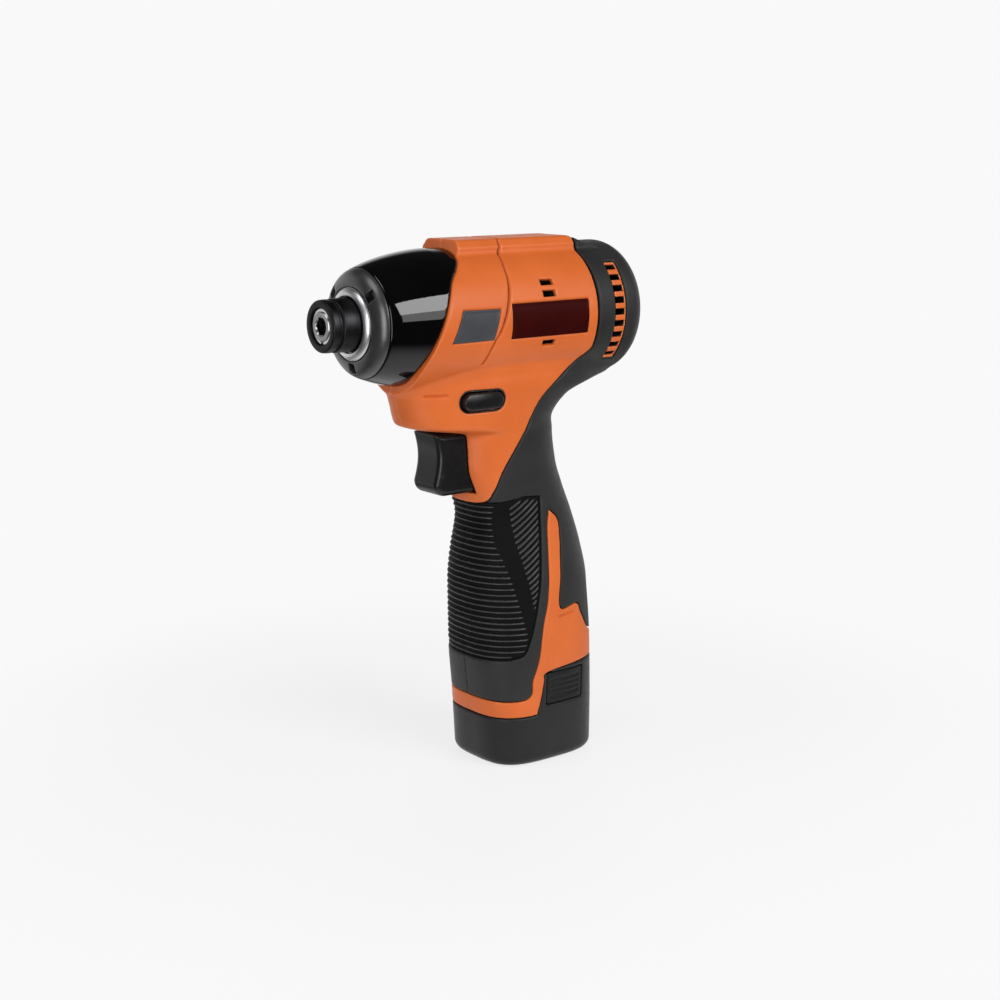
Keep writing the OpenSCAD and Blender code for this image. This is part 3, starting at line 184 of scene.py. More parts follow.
class SideField:
    """Distance to an outline drawn in the side view, read from a fine table."""

    LOW = np.array([-66.0, -12.0])
    HIGH = np.array([112.0, 232.0])
    STEP = 0.4

    def __init__(self, outline, closed=True):
        points = np.array(outline, float)
        count = np.ceil((self.HIGH - self.LOW) / self.STEP).astype(int) + 1
        x = self.LOW[0] + np.arange(count[0])[:, None] * self.STEP
        z = self.LOW[1] + np.arange(count[1])[None, :] * self.STEP
        near = np.full(count, 1e9)
        inside = np.zeros(count, bool)
        ends = np.roll(points, -1, 0) if closed else points[1:]
        for (ax, az), (bx, bz) in zip(points, ends):
            dx, dz = bx - ax, bz - az
            length = dx * dx + dz * dz
            if length < 1e-12:
                continue
            t = np.clip(((x - ax) * dx + (z - az) * dz) / length, 0, 1)
            near = np.minimum(near, (x - ax - t * dx) ** 2 + (z - az - t * dz) ** 2)
            if closed and abs(dz) > 1e-12:
                inside ^= ((az > z) != (bz > z)) & (x < ax + (z - az) * dx / dz)
        self.table = np.sqrt(near) * np.where(inside, -1, 1)

    def __call__(self, p):
        q = (p[:, (0, 2)] - self.LOW) / self.STEP
        q = np.clip(q, 0, np.array(self.table.shape) - 1.001)
        i = q.astype(int)
        f = q - i
        t, a, b = self.table, i[:, 0], i[:, 1]
        low = t[a, b] * (1 - f[:, 0]) + t[a + 1, b] * f[:, 0]
        high = t[a, b + 1] * (1 - f[:, 0]) + t[a + 1, b + 1] * f[:, 0]
        return low * (1 - f[:, 1]) + high * f[:, 1]


GRIP_ROWS = 668
GRIP_SMOOTH = 6


def grip_columns():
    """Rear, front, half width and squareness of the grip at close heights, smoothed a little."""
    z = GRIP_SHARES[:, 0]
    fine = np.linspace(0, z[-1], GRIP_ROWS)
    i = np.clip(np.searchsorted(z, fine, side="right") - 1, 0, len(z) - 2)
    width = z[i + 1] - z[i]
    t = (fine - z[i]) / width
    columns = []
    for k, scale in ((1, PALM_L), (2, PALM_L), (3, PALM_W), (4, 1)):
        v = GRIP_SHARES[:, k]
        rate = np.diff(v) / np.diff(z)
        slope = np.r_[rate[0], rate, rate[-1]]
        a, b = slope[:-1], slope[1:]
        with np.errstate(divide="ignore", invalid="ignore"):
            mean = np.where(a * b <= 0, 0, 2 * a * b / (a + b))
        value = (v[i] * (1 + 2 * t) * (1 - t) ** 2 + v[i + 1] * t * t * (3 - 2 * t)
                 + width * t * (1 - t) * ((1 - t) * mean[i] - t * mean[i + 1]))
        kernel = np.exp(-np.linspace(-2, 2, 2 * GRIP_SMOOTH + 1) ** 2 / 2)
        value = np.convolve(np.pad(value, GRIP_SMOOTH, "edge"), kernel / kernel.sum(), "valid")
        columns.append(value * scale)
    return fine * AXIS_H, columns


GRIP_Z, GRIP_COLUMNS = grip_columns()
GRIP_TOP = GRIP_Z[-1]


def grip_level(x, y, z):
    """How far a point lies out from the grip's middle, 1 on its surface, and its slope in plan."""
    rear, front, half, power = (np.interp(z, GRIP_Z, c) for c in GRIP_COLUMNS)
    reach = (front - rear) / 2
    u = np.abs(x - (rear + front) / 2) / reach
    v = np.abs(y) / half
    level = np.maximum((u ** power + v ** power) ** (1 / power), 1e-6)
    slope = ((u / level) ** (power - 1) / reach) ** 2 + ((v / level) ** (power - 1) / half) ** 2
    return level, slope


def grip(p, above=6.0, step=0.3):
    """Grip and battery from the floor to the barrel, worked out to a little above its top."""
    x, y, z = p.T
    d = z - GRIP_TOP
    low = d < above
    x, y, z = x[low], y[low], z[low]
    level, slope = grip_level(x, y, z)
    rise = (grip_level(x, y, z + step)[0] - grip_level(x, y, z - step)[0]) / (2 * step)
    side = (level - 1) / np.sqrt(slope + rise * rise)
    d[low] = round_max(side, d[low], GRIP_TOP_ROUND)
    return d


def axis_r(p):
    """Distance from the drive axis."""
    return np.hypot(p[:, 1], p[:, 2] - AXIS_H)


def barrel(p):
    """Barrel round the motor and the hammer case, open to the front."""
    return round_max(axis_r(p) - HEAD_R, X_REAR - p[:, 0], REAR_ROUND)


def ridge(p):
    """Flat ridge along the top of the barrel."""
    x, y, z = p[:, 0], np.abs(p[:, 1]), p[:, 2] - AXIS_H - HEAD_R
    top = z - RIDGE_RISE
    slant = math.hypot(RIDGE_FLANK, RIDGE_RISE)
    flank = ((y - RIDGE_W / 2 - RIDGE_FLANK) * RIDGE_RISE + z * RIDGE_FLANK) / slant
    slope = math.hypot(RIDGE_RAMP, RIDGE_RISE)
    rear = ((RIDGE_START - x) * RIDGE_RISE + z * RIDGE_RAMP) / slope
    foot = np.maximum(-z - RIDGE_DEPTH, y - RIDGE_W / 2 - RIDGE_FLANK)
    return np.maximum(round_max(round_max(top, flank, RIDGE_ROUND), rear, RIDGE_END_ROUND), foot)


def trunk(p):
    """Barrel and grip in one."""
    return round_min(barrel(p), grip(p), NECK_FILLET)


def body(p):
    """Whole outside of the tool without its nose."""
    return round_min(trunk(p), ridge(p), RIDGE_FILLET)


def nose_r(x):
    """Radius of the nose along the drive axis."""
    u = np.clip((x - X_NOSE + NOSE_DRAW) / NOSE_DRAW, 0, 1)
    bulge = np.maximum(1 - u ** NOSE_POWERS[0], 0) ** (1 / NOSE_POWERS[1])
    return NOSE_TIP_R + (HEAD_R - NOSE_TIP_R) * bulge


# Meshes from fields

CORNERS = np.array([[i & 1, i >> 1 & 1, i >> 2 & 1] for i in range(8)])
CELL_EDGES = [(a, b) for a in range(8) for b in range(a + 1, 8) if bin(a ^ b).count("1") == 1]
BLOCK = 8
CHUNK = 1500
# How near the surface a block's middle has to be, as a share of the block and a length added
NEAR_SHARE, NEAR_MORE = 1.25, 1.0


def sampled(field, low, count, cell):
    """Values of a field on a grid, worked out only in the blocks near its surface."""
    blocks = -(-count // BLOCK)
    index = np.indices(blocks).reshape(3, -1).T
    centres = low + (index + 0.5) * BLOCK * cell
    coarse = field(centres)
    near = np.abs(coarse) < BLOCK * cell * NEAR_SHARE + NEAR_MORE
    value = np.where(coarse < 0, -1.0, 1.0).astype(np.float32).reshape(blocks)
    for axis in range(3):
        value = np.repeat(value, BLOCK, axis)
    local = np.indices((BLOCK,) * 3).reshape(3, -1).T
    for chunk in np.array_split(index[near], max(1, near.sum() // CHUNK)):
        at = (chunk[:, None, :] * BLOCK + local[None, :, :]).reshape(-1, 3)
        value[tuple(at.T)] = field(low + at * cell)
    value = value[:count[0], :count[1], :count[2]]
    for axis in range(3):
        ends = [slice(None)] * 3
        ends[axis] = [0, -1]
        value[tuple(ends)] = np.maximum(value[tuple(ends)], cell / 100)
    return value


def surface_net(field, low, high, cell):
    """Vertices and quads of a field's surface: one vertex in each cell that the surface crosses."""
    low = np.array(low, float)
    count = np.ceil((np.array(high) - low) / cell).astype(int) + 1
    value = sampled(field, low, count, cell)
    inside = value < 0
    cells = count - 1
    total = np.zeros(cells, np.uint8)
    for c in CORNERS:
        total += inside[tuple(slice(o, o + n) for o, n in zip(c, cells))]
    ids = np.flatnonzero((total > 0) & (total < 8))
    base = np.stack(np.unravel_index(ids, cells), 1)
    corner = np.stack([value[tuple((base + c).T)] for c in CORNERS], 1).astype(float)
    place, crossings = np.zeros((len(ids), 3)), np.zeros(len(ids))
    for a, b in CELL_EDGES:
        cross = (corner[:, a] < 0) != (corner[:, b] < 0)
        t = corner[cross, a] / (corner[cross, a] - corner[cross, b])
        place[cross] += CORNERS[a] + t[:, None] * (CORNERS[b] - CORNERS[a])
        crossings += cross
    points = low + (base + place / crossings[:, None]) * cell
    order = np.full(total.size, -1, np.int64)
    order[ids] = np.arange(len(ids))
    quads = []
    for axis in range(3):
        b, c = (axis + 1) % 3, (axis + 2) % 3
        here = [slice(None)] * 3
        here[axis] = slice(None, -1)
        there = list(here)
        there[axis] = slice(1, None)
        edge = np.argwhere(inside[tuple(here)] != inside[tuple(there)])
        fits = (edge[:, b] > 0) & (edge[:, c] > 0) & (edge[:, b] < cells[b]) & (edge[:, c] < cells[c])
        edge = edge[fits]
        step_b, step_c = np.eye(3, dtype=int)[[b, c]]
        around = [edge, edge - step_b, edge - step_b - step_c, edge - step_c]
        quad = np.stack([order[np.ravel_multi_index(tuple(q.T), cells)] for q in around], 1)
        flip = ~inside[tuple(edge.T)]
        quad[flip] = quad[flip][:, ::-1]
        quads.append(quad)
    return settled(field, points, cell), np.vstack(quads)


def settled(field, points, cell, rounds=2, step=0.04, least_slope=0.3):
    """Points moved onto the surface along the field's slope, by half a cell at most."""
    for _ in range(rounds):
        d = field(points)
        slope = np.stack([
            field(points + step * axis) - field(points - step * axis) for axis in np.eye(3)
        ], 1) / (2 * step)
        size = np.maximum(np.linalg.norm(slope, axis=1), least_slope)
        move = np.clip(d / size, -cell / 2, cell / 2)
        points = points - slope / size[:, None] * move[:, None]
    return points


def placed(name, data):
    """New object in the scene."""
    item = bpy.data.objects.new(name, data)
    bpy.context.scene.collection.objects.link(item)
    return item


def mesh_piece(name, points, faces, material, body_name, replaced, slot):
    """New object in metres from points in millimetres, riding on a CAD body."""
    faces = np.asarray(faces)
    mesh = bpy.data.meshes.new(name)
    mesh.vertices.add(len(points))
    mesh.vertices.foreach_set("co", (np.asarray(points) * MM).astype(np.float32).ravel())
    mesh.loops.add(faces.size)
    mesh.loops.foreach_set("vertex_index", faces.astype(np.int32).ravel())
    mesh.polygons.add(len(faces))
    mesh.polygons.foreach_set("loop_start", np.arange(0, faces.size, faces.shape[1], dtype=np.int32))
    mesh.update(calc_edges=True)
    mesh.validate()
    mesh.shade_smooth()
    piece = placed(name, mesh)
    piece.data.materials.append(material)
    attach(piece, body_name)
    if replaced:
        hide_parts(*replaced)
    return piece


def field_piece(name, field, low, high, cell, material, body_name, replaced, slot):
    """Piece from a distance field inside a box."""
    return mesh_piece(name, *surface_net(field, low, high, cell), material, body_name, replaced, slot)


def rounded(corners, steps=4):
    """Closed outline with each corner (x, r, radius) rounded off."""
    found = []
    count = len(corners)
    for i, (x, r, bend) in enumerate(corners):
        here = np.array([x, r])
        before, after = (np.array(corners[(i + s) % count][:2]) - here for s in (-1, 1))
        a, b = np.linalg.norm(before), np.linalg.norm(after)
        cut = min(bend, a / 2, b / 2)
        start, end = here + before / a * cut, here + after / b * cut
        for t in np.linspace(0, 1, steps + 1):
            found.append((1 - t) ** 2 * start + 2 * t * (1 - t) * here + t * t * end)
    return np.array(found)


def lathed(outline, turns=128):
    """Vertices and quads of a closed outline of (x, r) points turned round the drive axis."""
    angle = np.arange(turns) * 2 * math.pi / turns
    x = np.repeat(outline[:, 0][None], turns, 0)
    y = np.cos(angle)[:, None] * outline[None, :, 1]
    z = np.sin(angle)[:, None] * outline[None, :, 1] + AXIS_H
    n = len(outline)
    i, j = np.meshgrid(np.arange(turns), np.arange(n), indexing="ij")
    k, m = (i + 1) % turns, (j + 1) % n
    faces = np.stack([i * n + j, i * n + m, k * n + m, k * n + j], -1).reshape(-1, 4)
    return np.stack([x, y, z], -1).reshape(-1, 3), faces


# Materials

# Parts of a noise texture's range that reach the roughness and the colour, and sharpness that shows wear
GLOSS_RANGE = (0.3, 0.7)
TINT_RANGE = (0.35, 0.65)
WORN_RANGE = (0.53, 0.62)
WORN_SHARE = 0.6
# Scales of the textures, in waves per metre
TINT_SCALE = 60
GLOSS_SCALE = 420
LINE_SCALE = 28
METAL_GLOSS_SCALE = 180
# Stretch of the lines on turned metal, which run round the drive axis
TURNED = (30, 1, 1)


def linear(r, g, b):
    """Linear colour from screen values of 0 to 255."""
    return tuple(
        c / 12.92 if c <= 0.04045 else ((c + 0.055) / 1.055) ** 2.4 for c in (r / 255, g / 255, b / 255)
    ) + (1.0,)


class Nodes:
    """Node tree of a material or a world, with nodes added by short calls."""

    def __init__(self, owner):
        owner.use_nodes = True
        self.tree = owner.node_tree
        self.link = self.tree.links.new

    def add(self, kind, operation=None, **inputs):
        """New node with constant values on its sockets."""
        node = self.tree.nodes.new(kind)
        if operation:
            node.operation = operation
        for socket, value in inputs.items():
            node.inputs[socket.replace("_", " ")].default_value = value
        return node

    def spread(self, source, start, end, low=0, high=1, kind="LINEAR"):
        """Value that goes from low to high as its source goes from start to end."""
        node = self.add("ShaderNodeMapRange", From_Min=start, From_Max=end, To_Min=low, To_Max=high)
        node.interpolation_type = kind
        self.link(source, node.inputs["Value"])
        return node.outputs["Result"]


# Every finish by its name; most have the name of the slot that they are for
FINISHES = {}


class Finish(Nodes):
    """Principled material whose colour, gloss and bump come from noise."""

    def __init__(self, name, **constants):
        self.material = bpy.data.materials.new(name)
        FINISHES[name] = self.material
        super().__init__(self.material)
        self.bsdf = next(n for n in self.tree.nodes if n.type == "BSDF_PRINCIPLED")
        for socket, value in constants.items():
            self.bsdf.inputs[socket.replace("_", " ")].default_value = value
        self.place = self.add("ShaderNodeTexCoord").outputs["Object"]

    def noise(self, scale, detail, stretch=None):
        """Noise from 0 to 1, drawn out along the axes by a stretch."""
        node = self.add("ShaderNodeTexNoise", Scale=scale, Detail=detail)
        source = self.place
        if stretch:
            mapping = self.add("ShaderNodeMapping", Scale=stretch)
            self.link(source, mapping.inputs["Vector"])
            source = mapping.outputs["Vector"]
        self.link(source, node.inputs["Vector"])
        return node.outputs["Fac"]

    def roughness(self, source, low, high):
        self.link(self.spread(source, *GLOSS_RANGE, low, high), self.bsdf.inputs["Roughness"])

    def colours(self, source, dark, light):
        """Feeds a blend of two colours to the base colour."""
        node = self.add("ShaderNodeValToRGB")
        for stop, place, colour in zip(node.color_ramp.elements, TINT_RANGE, (dark, light)):
            stop.position, stop.color = place, linear(*colour)
        self.link(source, node.inputs["Fac"])
        self.link(node.outputs["Color"], self.bsdf.inputs["Base Color"])
        return node.outputs["Color"]

    def worn(self, tint, colour):
        """Blends the base colour to another along the sharp outer edges."""
        sharp = self.add("ShaderNodeNewGeometry").outputs["Pointiness"]
        mix = self.add("ShaderNodeMix")
        mix.data_type = "RGBA"
        first, second = (i for i in mix.inputs if i.type == "RGBA")
        second.default_value = linear(*colour)
        self.link(self.spread(sharp, *WORN_RANGE, 0, WORN_SHARE), mix.inputs["Factor"])
        self.link(tint, first)
        self.link(next(o for o in mix.outputs if o.type == "RGBA"), self.bsdf.inputs["Base Color"])

    def bump(self, source, depth):
        """Raises the surface by a texture, depth in millimetres."""
        node = self.add("ShaderNodeBump", Strength=1.0, Distance=depth * MM)
        self.link(source, node.inputs["Height"])
        self.link(node.outputs["Normal"], self.bsdf.inputs["Normal"])


def moulded(name, dark, light, rough, grain, depth, specular=0.5, worn=None, **constants):
    """Moulded plastic or rubber: fine grain, slow changes of colour and gloss, and paler worn edges."""
    finish = Finish(name, Specular_IOR_Level=specular, **constants)
    finish.bump(finish.noise(grain, detail=2), depth)
    tint = finish.colours(finish.noise(TINT_SCALE, detail=4), dark, light)
    if worn:
        finish.worn(tint, worn)
    finish.roughness(finish.noise(GLOSS_SCALE, detail=3), *rough)
    return finish.material


def metal(name, dark, light, rough, stretch=TURNED, depth=0.002):
    """Machined metal with fine lines along one direction."""
    finish = Finish(name, Metallic=1.0)
    lines = finish.noise(LINE_SCALE, detail=4, stretch=stretch)
    finish.bump(lines, depth)
    finish.colours(lines, dark, light)
    finish.roughness(finish.noise(METAL_GLOSS_SCALE, detail=3), *rough)
    return finish.material


# Name, dark and light colour and least and most roughness; then for a moulding its grain per metre, the
# grain's depth and the specular level, and for a metal the stretch and depth of its lines
ORANGE = moulded("orange_plastic", (200, 96, 39), (206, 101, 44), (0.36, 0.46), 2600, 0.01, 0.32,
                 worn=(230, 146, 100))
RUBBER = moulded("black_rubber", (36, 36, 36), (42, 42, 42), (0.42, 0.52), 2200, 0.015, 0.25)
# Paler copy of the grip's rubber for the ribs: a painted highlight on their crests
RIB_HIGHLIGHT = moulded("rib_rubber_painted_highlight", (46, 46, 46), (54, 54, 54), (0.34, 0.44), 2200, 0.004)
# Near-black copy of the grip's rubber for the bed between the ribs: painted shade in the grooves
GROOVE_SHADE = moulded("bed_rubber_painted_shade", (8, 8, 8), (11, 11, 11), (0.6, 0.7), 1600, 0.01, 0.1)
GLOSS = moulded("gloss_black", (3, 3, 4), (5, 5, 6), (0.02, 0.05), 900, 0.0002)
COLLAR = moulded("collar_satin", (40, 40, 42), (46, 46, 48), (0.28, 0.35), 1400, 0.001, 1.0)
SMOKED = moulded("smoked_lens", (5, 5, 6), (8, 8, 9), (0.04, 0.08), 600, 0.0004, 0.3)
SATIN = moulded("satin_black", (17, 17, 18), (22, 22, 23), (0.26, 0.34), 1800, 0.005, 0.35,
                worn=(52, 52, 55))
PLASTIC = moulded("black_plastic", (14, 14, 15), (18, 18, 19), (0.36, 0.46), 2400, 0.01, 0.22,
                  worn=(52, 52, 54))
BATTERY = moulded("battery_plastic", (29, 29, 30), (34, 34, 35), (0.34, 0.44), 2200, 0.008, 0.22,
                  worn=(58, 58, 60))
LABEL = moulded("label_film", (45, 4, 3), (52, 6, 4), (0.36, 0.44), 1500, 0.003, 0.06)
BADGE = moulded("badge_slate", (60, 62, 65), (69, 71, 75), (0.32, 0.4), 1500, 0.004, 0.3)
STEEL = metal("ground_steel", (150, 150, 152), (172, 172, 174), (0.24, 0.34))
BRIGHT = metal("bright_steel", (196, 196, 198), (216, 216, 218), (0.16, 0.26))
OXIDE = metal("blackened_steel", (44, 44, 46), (52, 52, 54), (0.38, 0.48))
ZINC = metal("black_zinc", (92, 92, 96), (112, 112, 116), (0.28, 0.4))
metal("core_steel", (84, 86, 92), (108, 110, 116), (0.4, 0.55), (60, 2, 2), 0.02)
metal("cast_aluminium", (186, 186, 189), (206, 206, 209), (0.24, 0.34))
SILVER = metal("silver_ring", (214, 214, 216), (228, 228, 230), (0.3, 0.38))
metal("bronze", (150, 112, 60), (176, 134, 76), (0.32, 0.42))
metal("copper", (168, 92, 50), (192, 112, 64), (0.3, 0.42), (2, 2, 50), 0.04)
moulded("board", (16, 70, 38), (24, 88, 50), (0.3, 0.4), 900, 0.01)
moulded("cell_wrap", (32, 78, 138), (42, 92, 156), (0.3, 0.4), 700, 0.004)
moulded("lens", (196, 200, 206), (214, 217, 222), (0.05, 0.1), 600, 0.001, Transmission_Weight=0.7, IOR=1.49)

FINISHES["hard_steel"] = STEEL
for part in frame["record"]["subparts"]:
    node = frame["nodes"][part["node"]]
    node.data.materials.clear()
    node.data.materials.append(FINISHES[part["material_slot"]])

# Outlines in the side view

FAR_X = X_TIP + WIDE
upper_edge = curve(on_head(FIELD_EDGE_SHARES))
upper_ring_x = X_REAR + FIELD_RING_SHARE * HEAD_L
UPPER_FIELD = SideField(np.vstack([
    [[upper_ring_x, AXIS_H + WIDE]], upper_edge, [[FAR_X, upper_edge[-1][1]], [FAR_X, AXIS_H + WIDE]],
]))
LOWER_FIELD = SideField(np.vstack([
    curve(on_grip(STRIPE_FRONT_SHARES)), curve(on_grip(STRIPE_REAR_SHARES)), [[-WIDE, -WIDE], [WIDE, -WIDE]],
]))
nose_edge = curve(on_head(NOSE_EDGE_SHARES))
NOSE_ZONE = SideField(np.vstack([nose_edge, [[FAR_X, nose_edge[-1][1]], [FAR_X, nose_edge[0][1]]]]))
RIM_ZONE = SideField(np.vstack([curve(on_grip(RIM_SHARES)), [[-WIDE, -WIDE], [WIDE, -WIDE]]]))
SEAM_LINE = SideField(curve([
    [20.6, 216], [21.8, 211], [24.7, 204], [25.4, 200.5], [28.3, 191.3], [31.8, 182], [34.7, 176.4],
    [37.2, 168.5],
]), closed=False)
SLIT_LINES = [SideField([[50, 156.7], [58, 156.7]], False), SideField([[-7.6, 62.8], [0, 62.1]], False)]
RIB_ZONE = SideField([
    [60, 110.5], [24, 111.5], [14, 113.2], [6, 112.6], [6.9, 100], [8.4, 85], [9.7, 74], [11, 65],
    [13, 56.5], [15.2, 50], [17.2, 47.6], [22, 46.4], [60, 44.8],
])
LABEL_ZONE = SideField([[-12, 177.8], [26.7, 177.8], [26.7, 191.6], [-12, 191.6]])
BADGE_ZONE = SideField([[50.2, 190.4], [32.1, 190.1], [35.1, 178], [55, 177.9]])

# Openings, and what they share

PASS_GAP = 0.4
PART_GAP = 0.03
TRIGGER_X = (33.0, 50.0)
TRIGGER_Z = (115.38, 140.38)
TRIGGER_W = 17.4
TRIGGER_SLOT_X = (22.0, 110.0)
SELECTOR = (34.8, 153.76)
SELECTOR_SIZE = (19.0, 7.0)
SELECTOR_REACH = 20.82
BEZEL_W = 0.9
BEZEL_GAP = 0.15
VENT_X = (X_REAR + 0.094 * HEAD_L, X_REAR + 0.137 * HEAD_L)
VENT_ANGLE = math.radians(46)
VENT_SLOTS = 9
VENT_SLOT_SHARE = 0.56
VENT_RIM = 0.4
SIDE_VENT_X = (X_REAR + 0.376 * HEAD_L, X_REAR + 0.427 * HEAD_L)
SIDE_VENT_ANGLES = [math.radians(a) for a in (30, 20, -22)]
SIDE_VENT_H = 2.7
SCREW_R = 1.4
SCREW_L = 18.0
SCREW_HEAD_R = 2.7
SCREW_HEAD_T = 2.2
SCREW_SEAT = 11.0
SCREW_GAP = 0.2
HOLE_ROUND = 0.4


def box_field(p, low, high):
    """Distance to a box, exact outside its faces."""
    middle, half = (np.array(low) + high) / 2, (np.array(high) - low) / 2
    q = np.abs(p - middle) - half
    return np.linalg.norm(np.maximum(q, 0), axis=1) + np.minimum(q.max(1), 0)


def pill_field(p, grow=0.0):
    """Distance in the side view to the selector's long round outline."""
    half = (SELECTOR_SIZE[0] - SELECTOR_SIZE[1]) / 2
    x = np.maximum(np.abs(p[:, 0] - SELECTOR[0]) - half, 0)
    return np.hypot(x, p[:, 2] - SELECTOR[1]) - SELECTOR_SIZE[1] / 2 - grow


def level_angle(p):
    """Angle above level round the drive axis, on either side."""
    return np.arctan2(p[:, 2] - AXIS_H, np.abs(p[:, 1]))


def span(value, ends):
    """Distance from an interval, negative inside it."""
    return np.abs(value - sum(ends) / 2) - (ends[1] - ends[0]) / 2


def wall_window(p, ends, angles):
    """Distance along the barrel's wall to a window between two ends and two angles."""
    x = span(p[:, 0], ends)
    turn = span(level_angle(p), angles) * HEAD_R
    return np.hypot(np.maximum(x, 0), np.maximum(turn, 0)) + np.minimum(np.maximum(x, turn), 0)


def vent_window(p):
    """Window of the rear vent."""
    return wall_window(p, VENT_X, (-VENT_ANGLE, VENT_ANGLE))


def vent_slots(p):
    """Slots between the bars of the rear vent."""
    pitch = 2 * VENT_ANGLE / VENT_SLOTS
    angle = level_angle(p)
    place = np.clip(np.round((angle + VENT_ANGLE) / pitch - 0.5), 0, VENT_SLOTS - 1)
    turn = (np.abs(angle + VENT_ANGLE - (place + 0.5) * pitch) - pitch * VENT_SLOT_SHARE / 2) * HEAD_R
    return np.maximum(span(p[:, 0], VENT_X) + VENT_RIM, turn)


def side_vents(p):
    """Small vents above and below the label."""
    turn = math.asin(SIDE_VENT_H / 2 / HEAD_R)
    return np.minimum.reduce([wall_window(p, SIDE_VENT_X, (a - turn, a + turn)) for a in SIDE_VENT_ANGLES])


def trigger_slot(p):
    """Opening that the trigger slides in."""
    half = TRIGGER_W / 2 + PASS_GAP
    return box_field(p, [TRIGGER_SLOT_X[0], -half, TRIGGER_Z[0] - PASS_GAP],
                     [TRIGGER_SLOT_X[1], half, TRIGGER_Z[1] + PASS_GAP])


def screw_holes(p):
    """Recesses of the screw heads, open to the right."""
    away = np.min([np.hypot(p[:, 0] - x, p[:, 2] - z) for x, z in SCREW_PLACES], 0)
    return np.maximum(away - SCREW_HEAD_R - SCREW_GAP, p[:, 1] + SCREW_SEAT)


def fields(p):
    """Distance in the side view to both orange fields."""
    return np.minimum(UPPER_FIELD(p), LOWER_FIELD(p))


def half_cut(p, side, gap=PART_GAP):
    """Distance past the middle plane, away from one side."""
    return gap - side * p[:, 1]


def groove(distance, depth, width):
    """Depth of a round groove at a distance from its middle line."""
    return depth * np.exp(-(distance / width) ** 2)


def skin(d, out, thick):
    """Field cut off at a depth under its outside, so that only a skin is left."""
    return np.maximum(d, -(out + thick))


def trimmed(d, *cuts):
    """Field cut by other fields in turn, each given with the radius of its edge."""
    for cut, edge in cuts:
        d = round_max(d, cut, edge)
    return d


def skin_cuts(p, d, side, edge):
    """Cuts that both the orange fields and the rubber share."""
    d = trimmed(d, (-trigger_slot(p), 0.6), (-pill_field(p, BEZEL_W + BEZEL_GAP), HOLE_ROUND))
    if side < 0:
        d = round_max(d, -screw_holes(p), HOLE_ROUND)
    return round_max(d, half_cut(p, side), edge)


# Skins of the housing and the grip

SEAM_DEPTH, SEAM_W = 1.7, 0.5
SLIT_DEPTH, SLIT_W = 1.3, 0.42
POCKET_DEPTH = 0.6
POCKET_EDGE = (-0.35, 0.05)
ORANGE_T = 2.2
NOSE_LIP = 4.0
CASE_GAP = 0.4


def orange_skin(side):
    """Orange fields of one side, with their grooves, pockets and vents."""
    def field(p):
        d = body(p) + groove(SEAM_LINE(p), SEAM_DEPTH, SEAM_W)
        for line in SLIT_LINES if side > 0 else SLIT_LINES[1:]:
            d = d + groove(line(p), SLIT_DEPTH, SLIT_W)
        if side > 0:
            pocket = np.minimum(LABEL_ZONE(p), BADGE_ZONE(p))
            d = d + POCKET_DEPTH * ramp(-pocket, *POCKET_EDGE)
        d = trimmed(d, (fields(p), 0.55), (-NOSE_ZONE(p), 0.7), (-RIM_ZONE(p), 0.6), (-side_vents(p), 0.35))
        d = skin_cuts(p, d, side, edge=0.3)
        d = np.maximum(d, CASE_R + CASE_GAP - axis_r(p))
        return np.maximum(d, -np.maximum(trunk(p) + ORANGE_T, NOSE_LIP - NOSE_ZONE(p)))
    return field


RING_R = 15.5
RING_DEPTH, RING_W = 0.45, 0.5
DISH_DEPTH = 0.35
DISH_EDGE = 1.0
CAP_DEPTH = (2.0, 3.0)
RUBBER_T = 1.6
RUBBER_VENT_GAP = 0.35
# Gap between the rubber and the orange fields at the grip, how much wider it is at the barrel, and where
SKIN_GAP = 0.45
SKIN_GAP_MORE = 0.75
SKIN_GAP_Z = (166, 175)


def rear_ring(p):
    """Shallow ring groove and dished middle of the rear cap's end."""
    r = axis_r(p)
    sunk = groove(r - RING_R, RING_DEPTH, RING_W) + DISH_DEPTH * ramp(-r, -RING_R, DISH_EDGE - RING_R)
    return sunk * ramp(-p[:, 0], -X_REAR - CAP_DEPTH[1], -X_REAR - CAP_DEPTH[0])


def rubber_skin(side):
    """Rubber of one side: rear cap, back and grip."""
    def field(p):
        out = body(p) + rear_ring(p)
        gap = SKIN_GAP + SKIN_GAP_MORE * ramp(p[:, 2], *SKIN_GAP_Z)
        d = trimmed(out, (gap - fields(p), 0.5), (-NOSE_ZONE(p), 0.5), (-RIM_ZONE(p), 0.5),
                    (-RIB_ZONE(p), 0.6), (RUBBER_VENT_GAP - vent_window(p), 0.5))
        return skin(skin_cuts(p, d, side, edge=0.12), out, RUBBER_T)
    return field


# The left core's edge runs on past the middle, so that no light comes through the parting line
TONGUE = {1: -0.5, -1: PART_GAP}
CORE_INSET = 0.3
CORE_GAP = 0.1


def shell_core(side):
    """Wall that carries the fields and the rubber."""
    def field(p):
        out = body(p)
        cuts = [
            out + OVER_T, -out - WALL_T, CORE_INSET - NOSE_ZONE(p), CORE_INSET - RIM_ZONE(p), -side_vents(p),
            -vent_window(p), -trigger_slot(p), -pill_field(p, BEZEL_W + CORE_GAP),
            half_cut(p, side, TONGUE[side]),
        ]
        if side < 0:
            cuts.append(-screw_holes(p))
        return np.maximum.reduce(cuts)
    return field


RIB_PITCH = 2.38
RIB_POWER = 0.6
RIB_END = (-1.5, 2.5)
HATCH_PITCH = 2.0
HATCH_SLOPE = 0.72
HATCH_POWER = 0.35
HATCH_LIFT = 0.5
HATCH_END = (-1, 1)
RIB_DEPTH = 1.2
RIB_FADE = (0.2, 2)
RIB_T = 0.6
RIB_INSET = 0.4
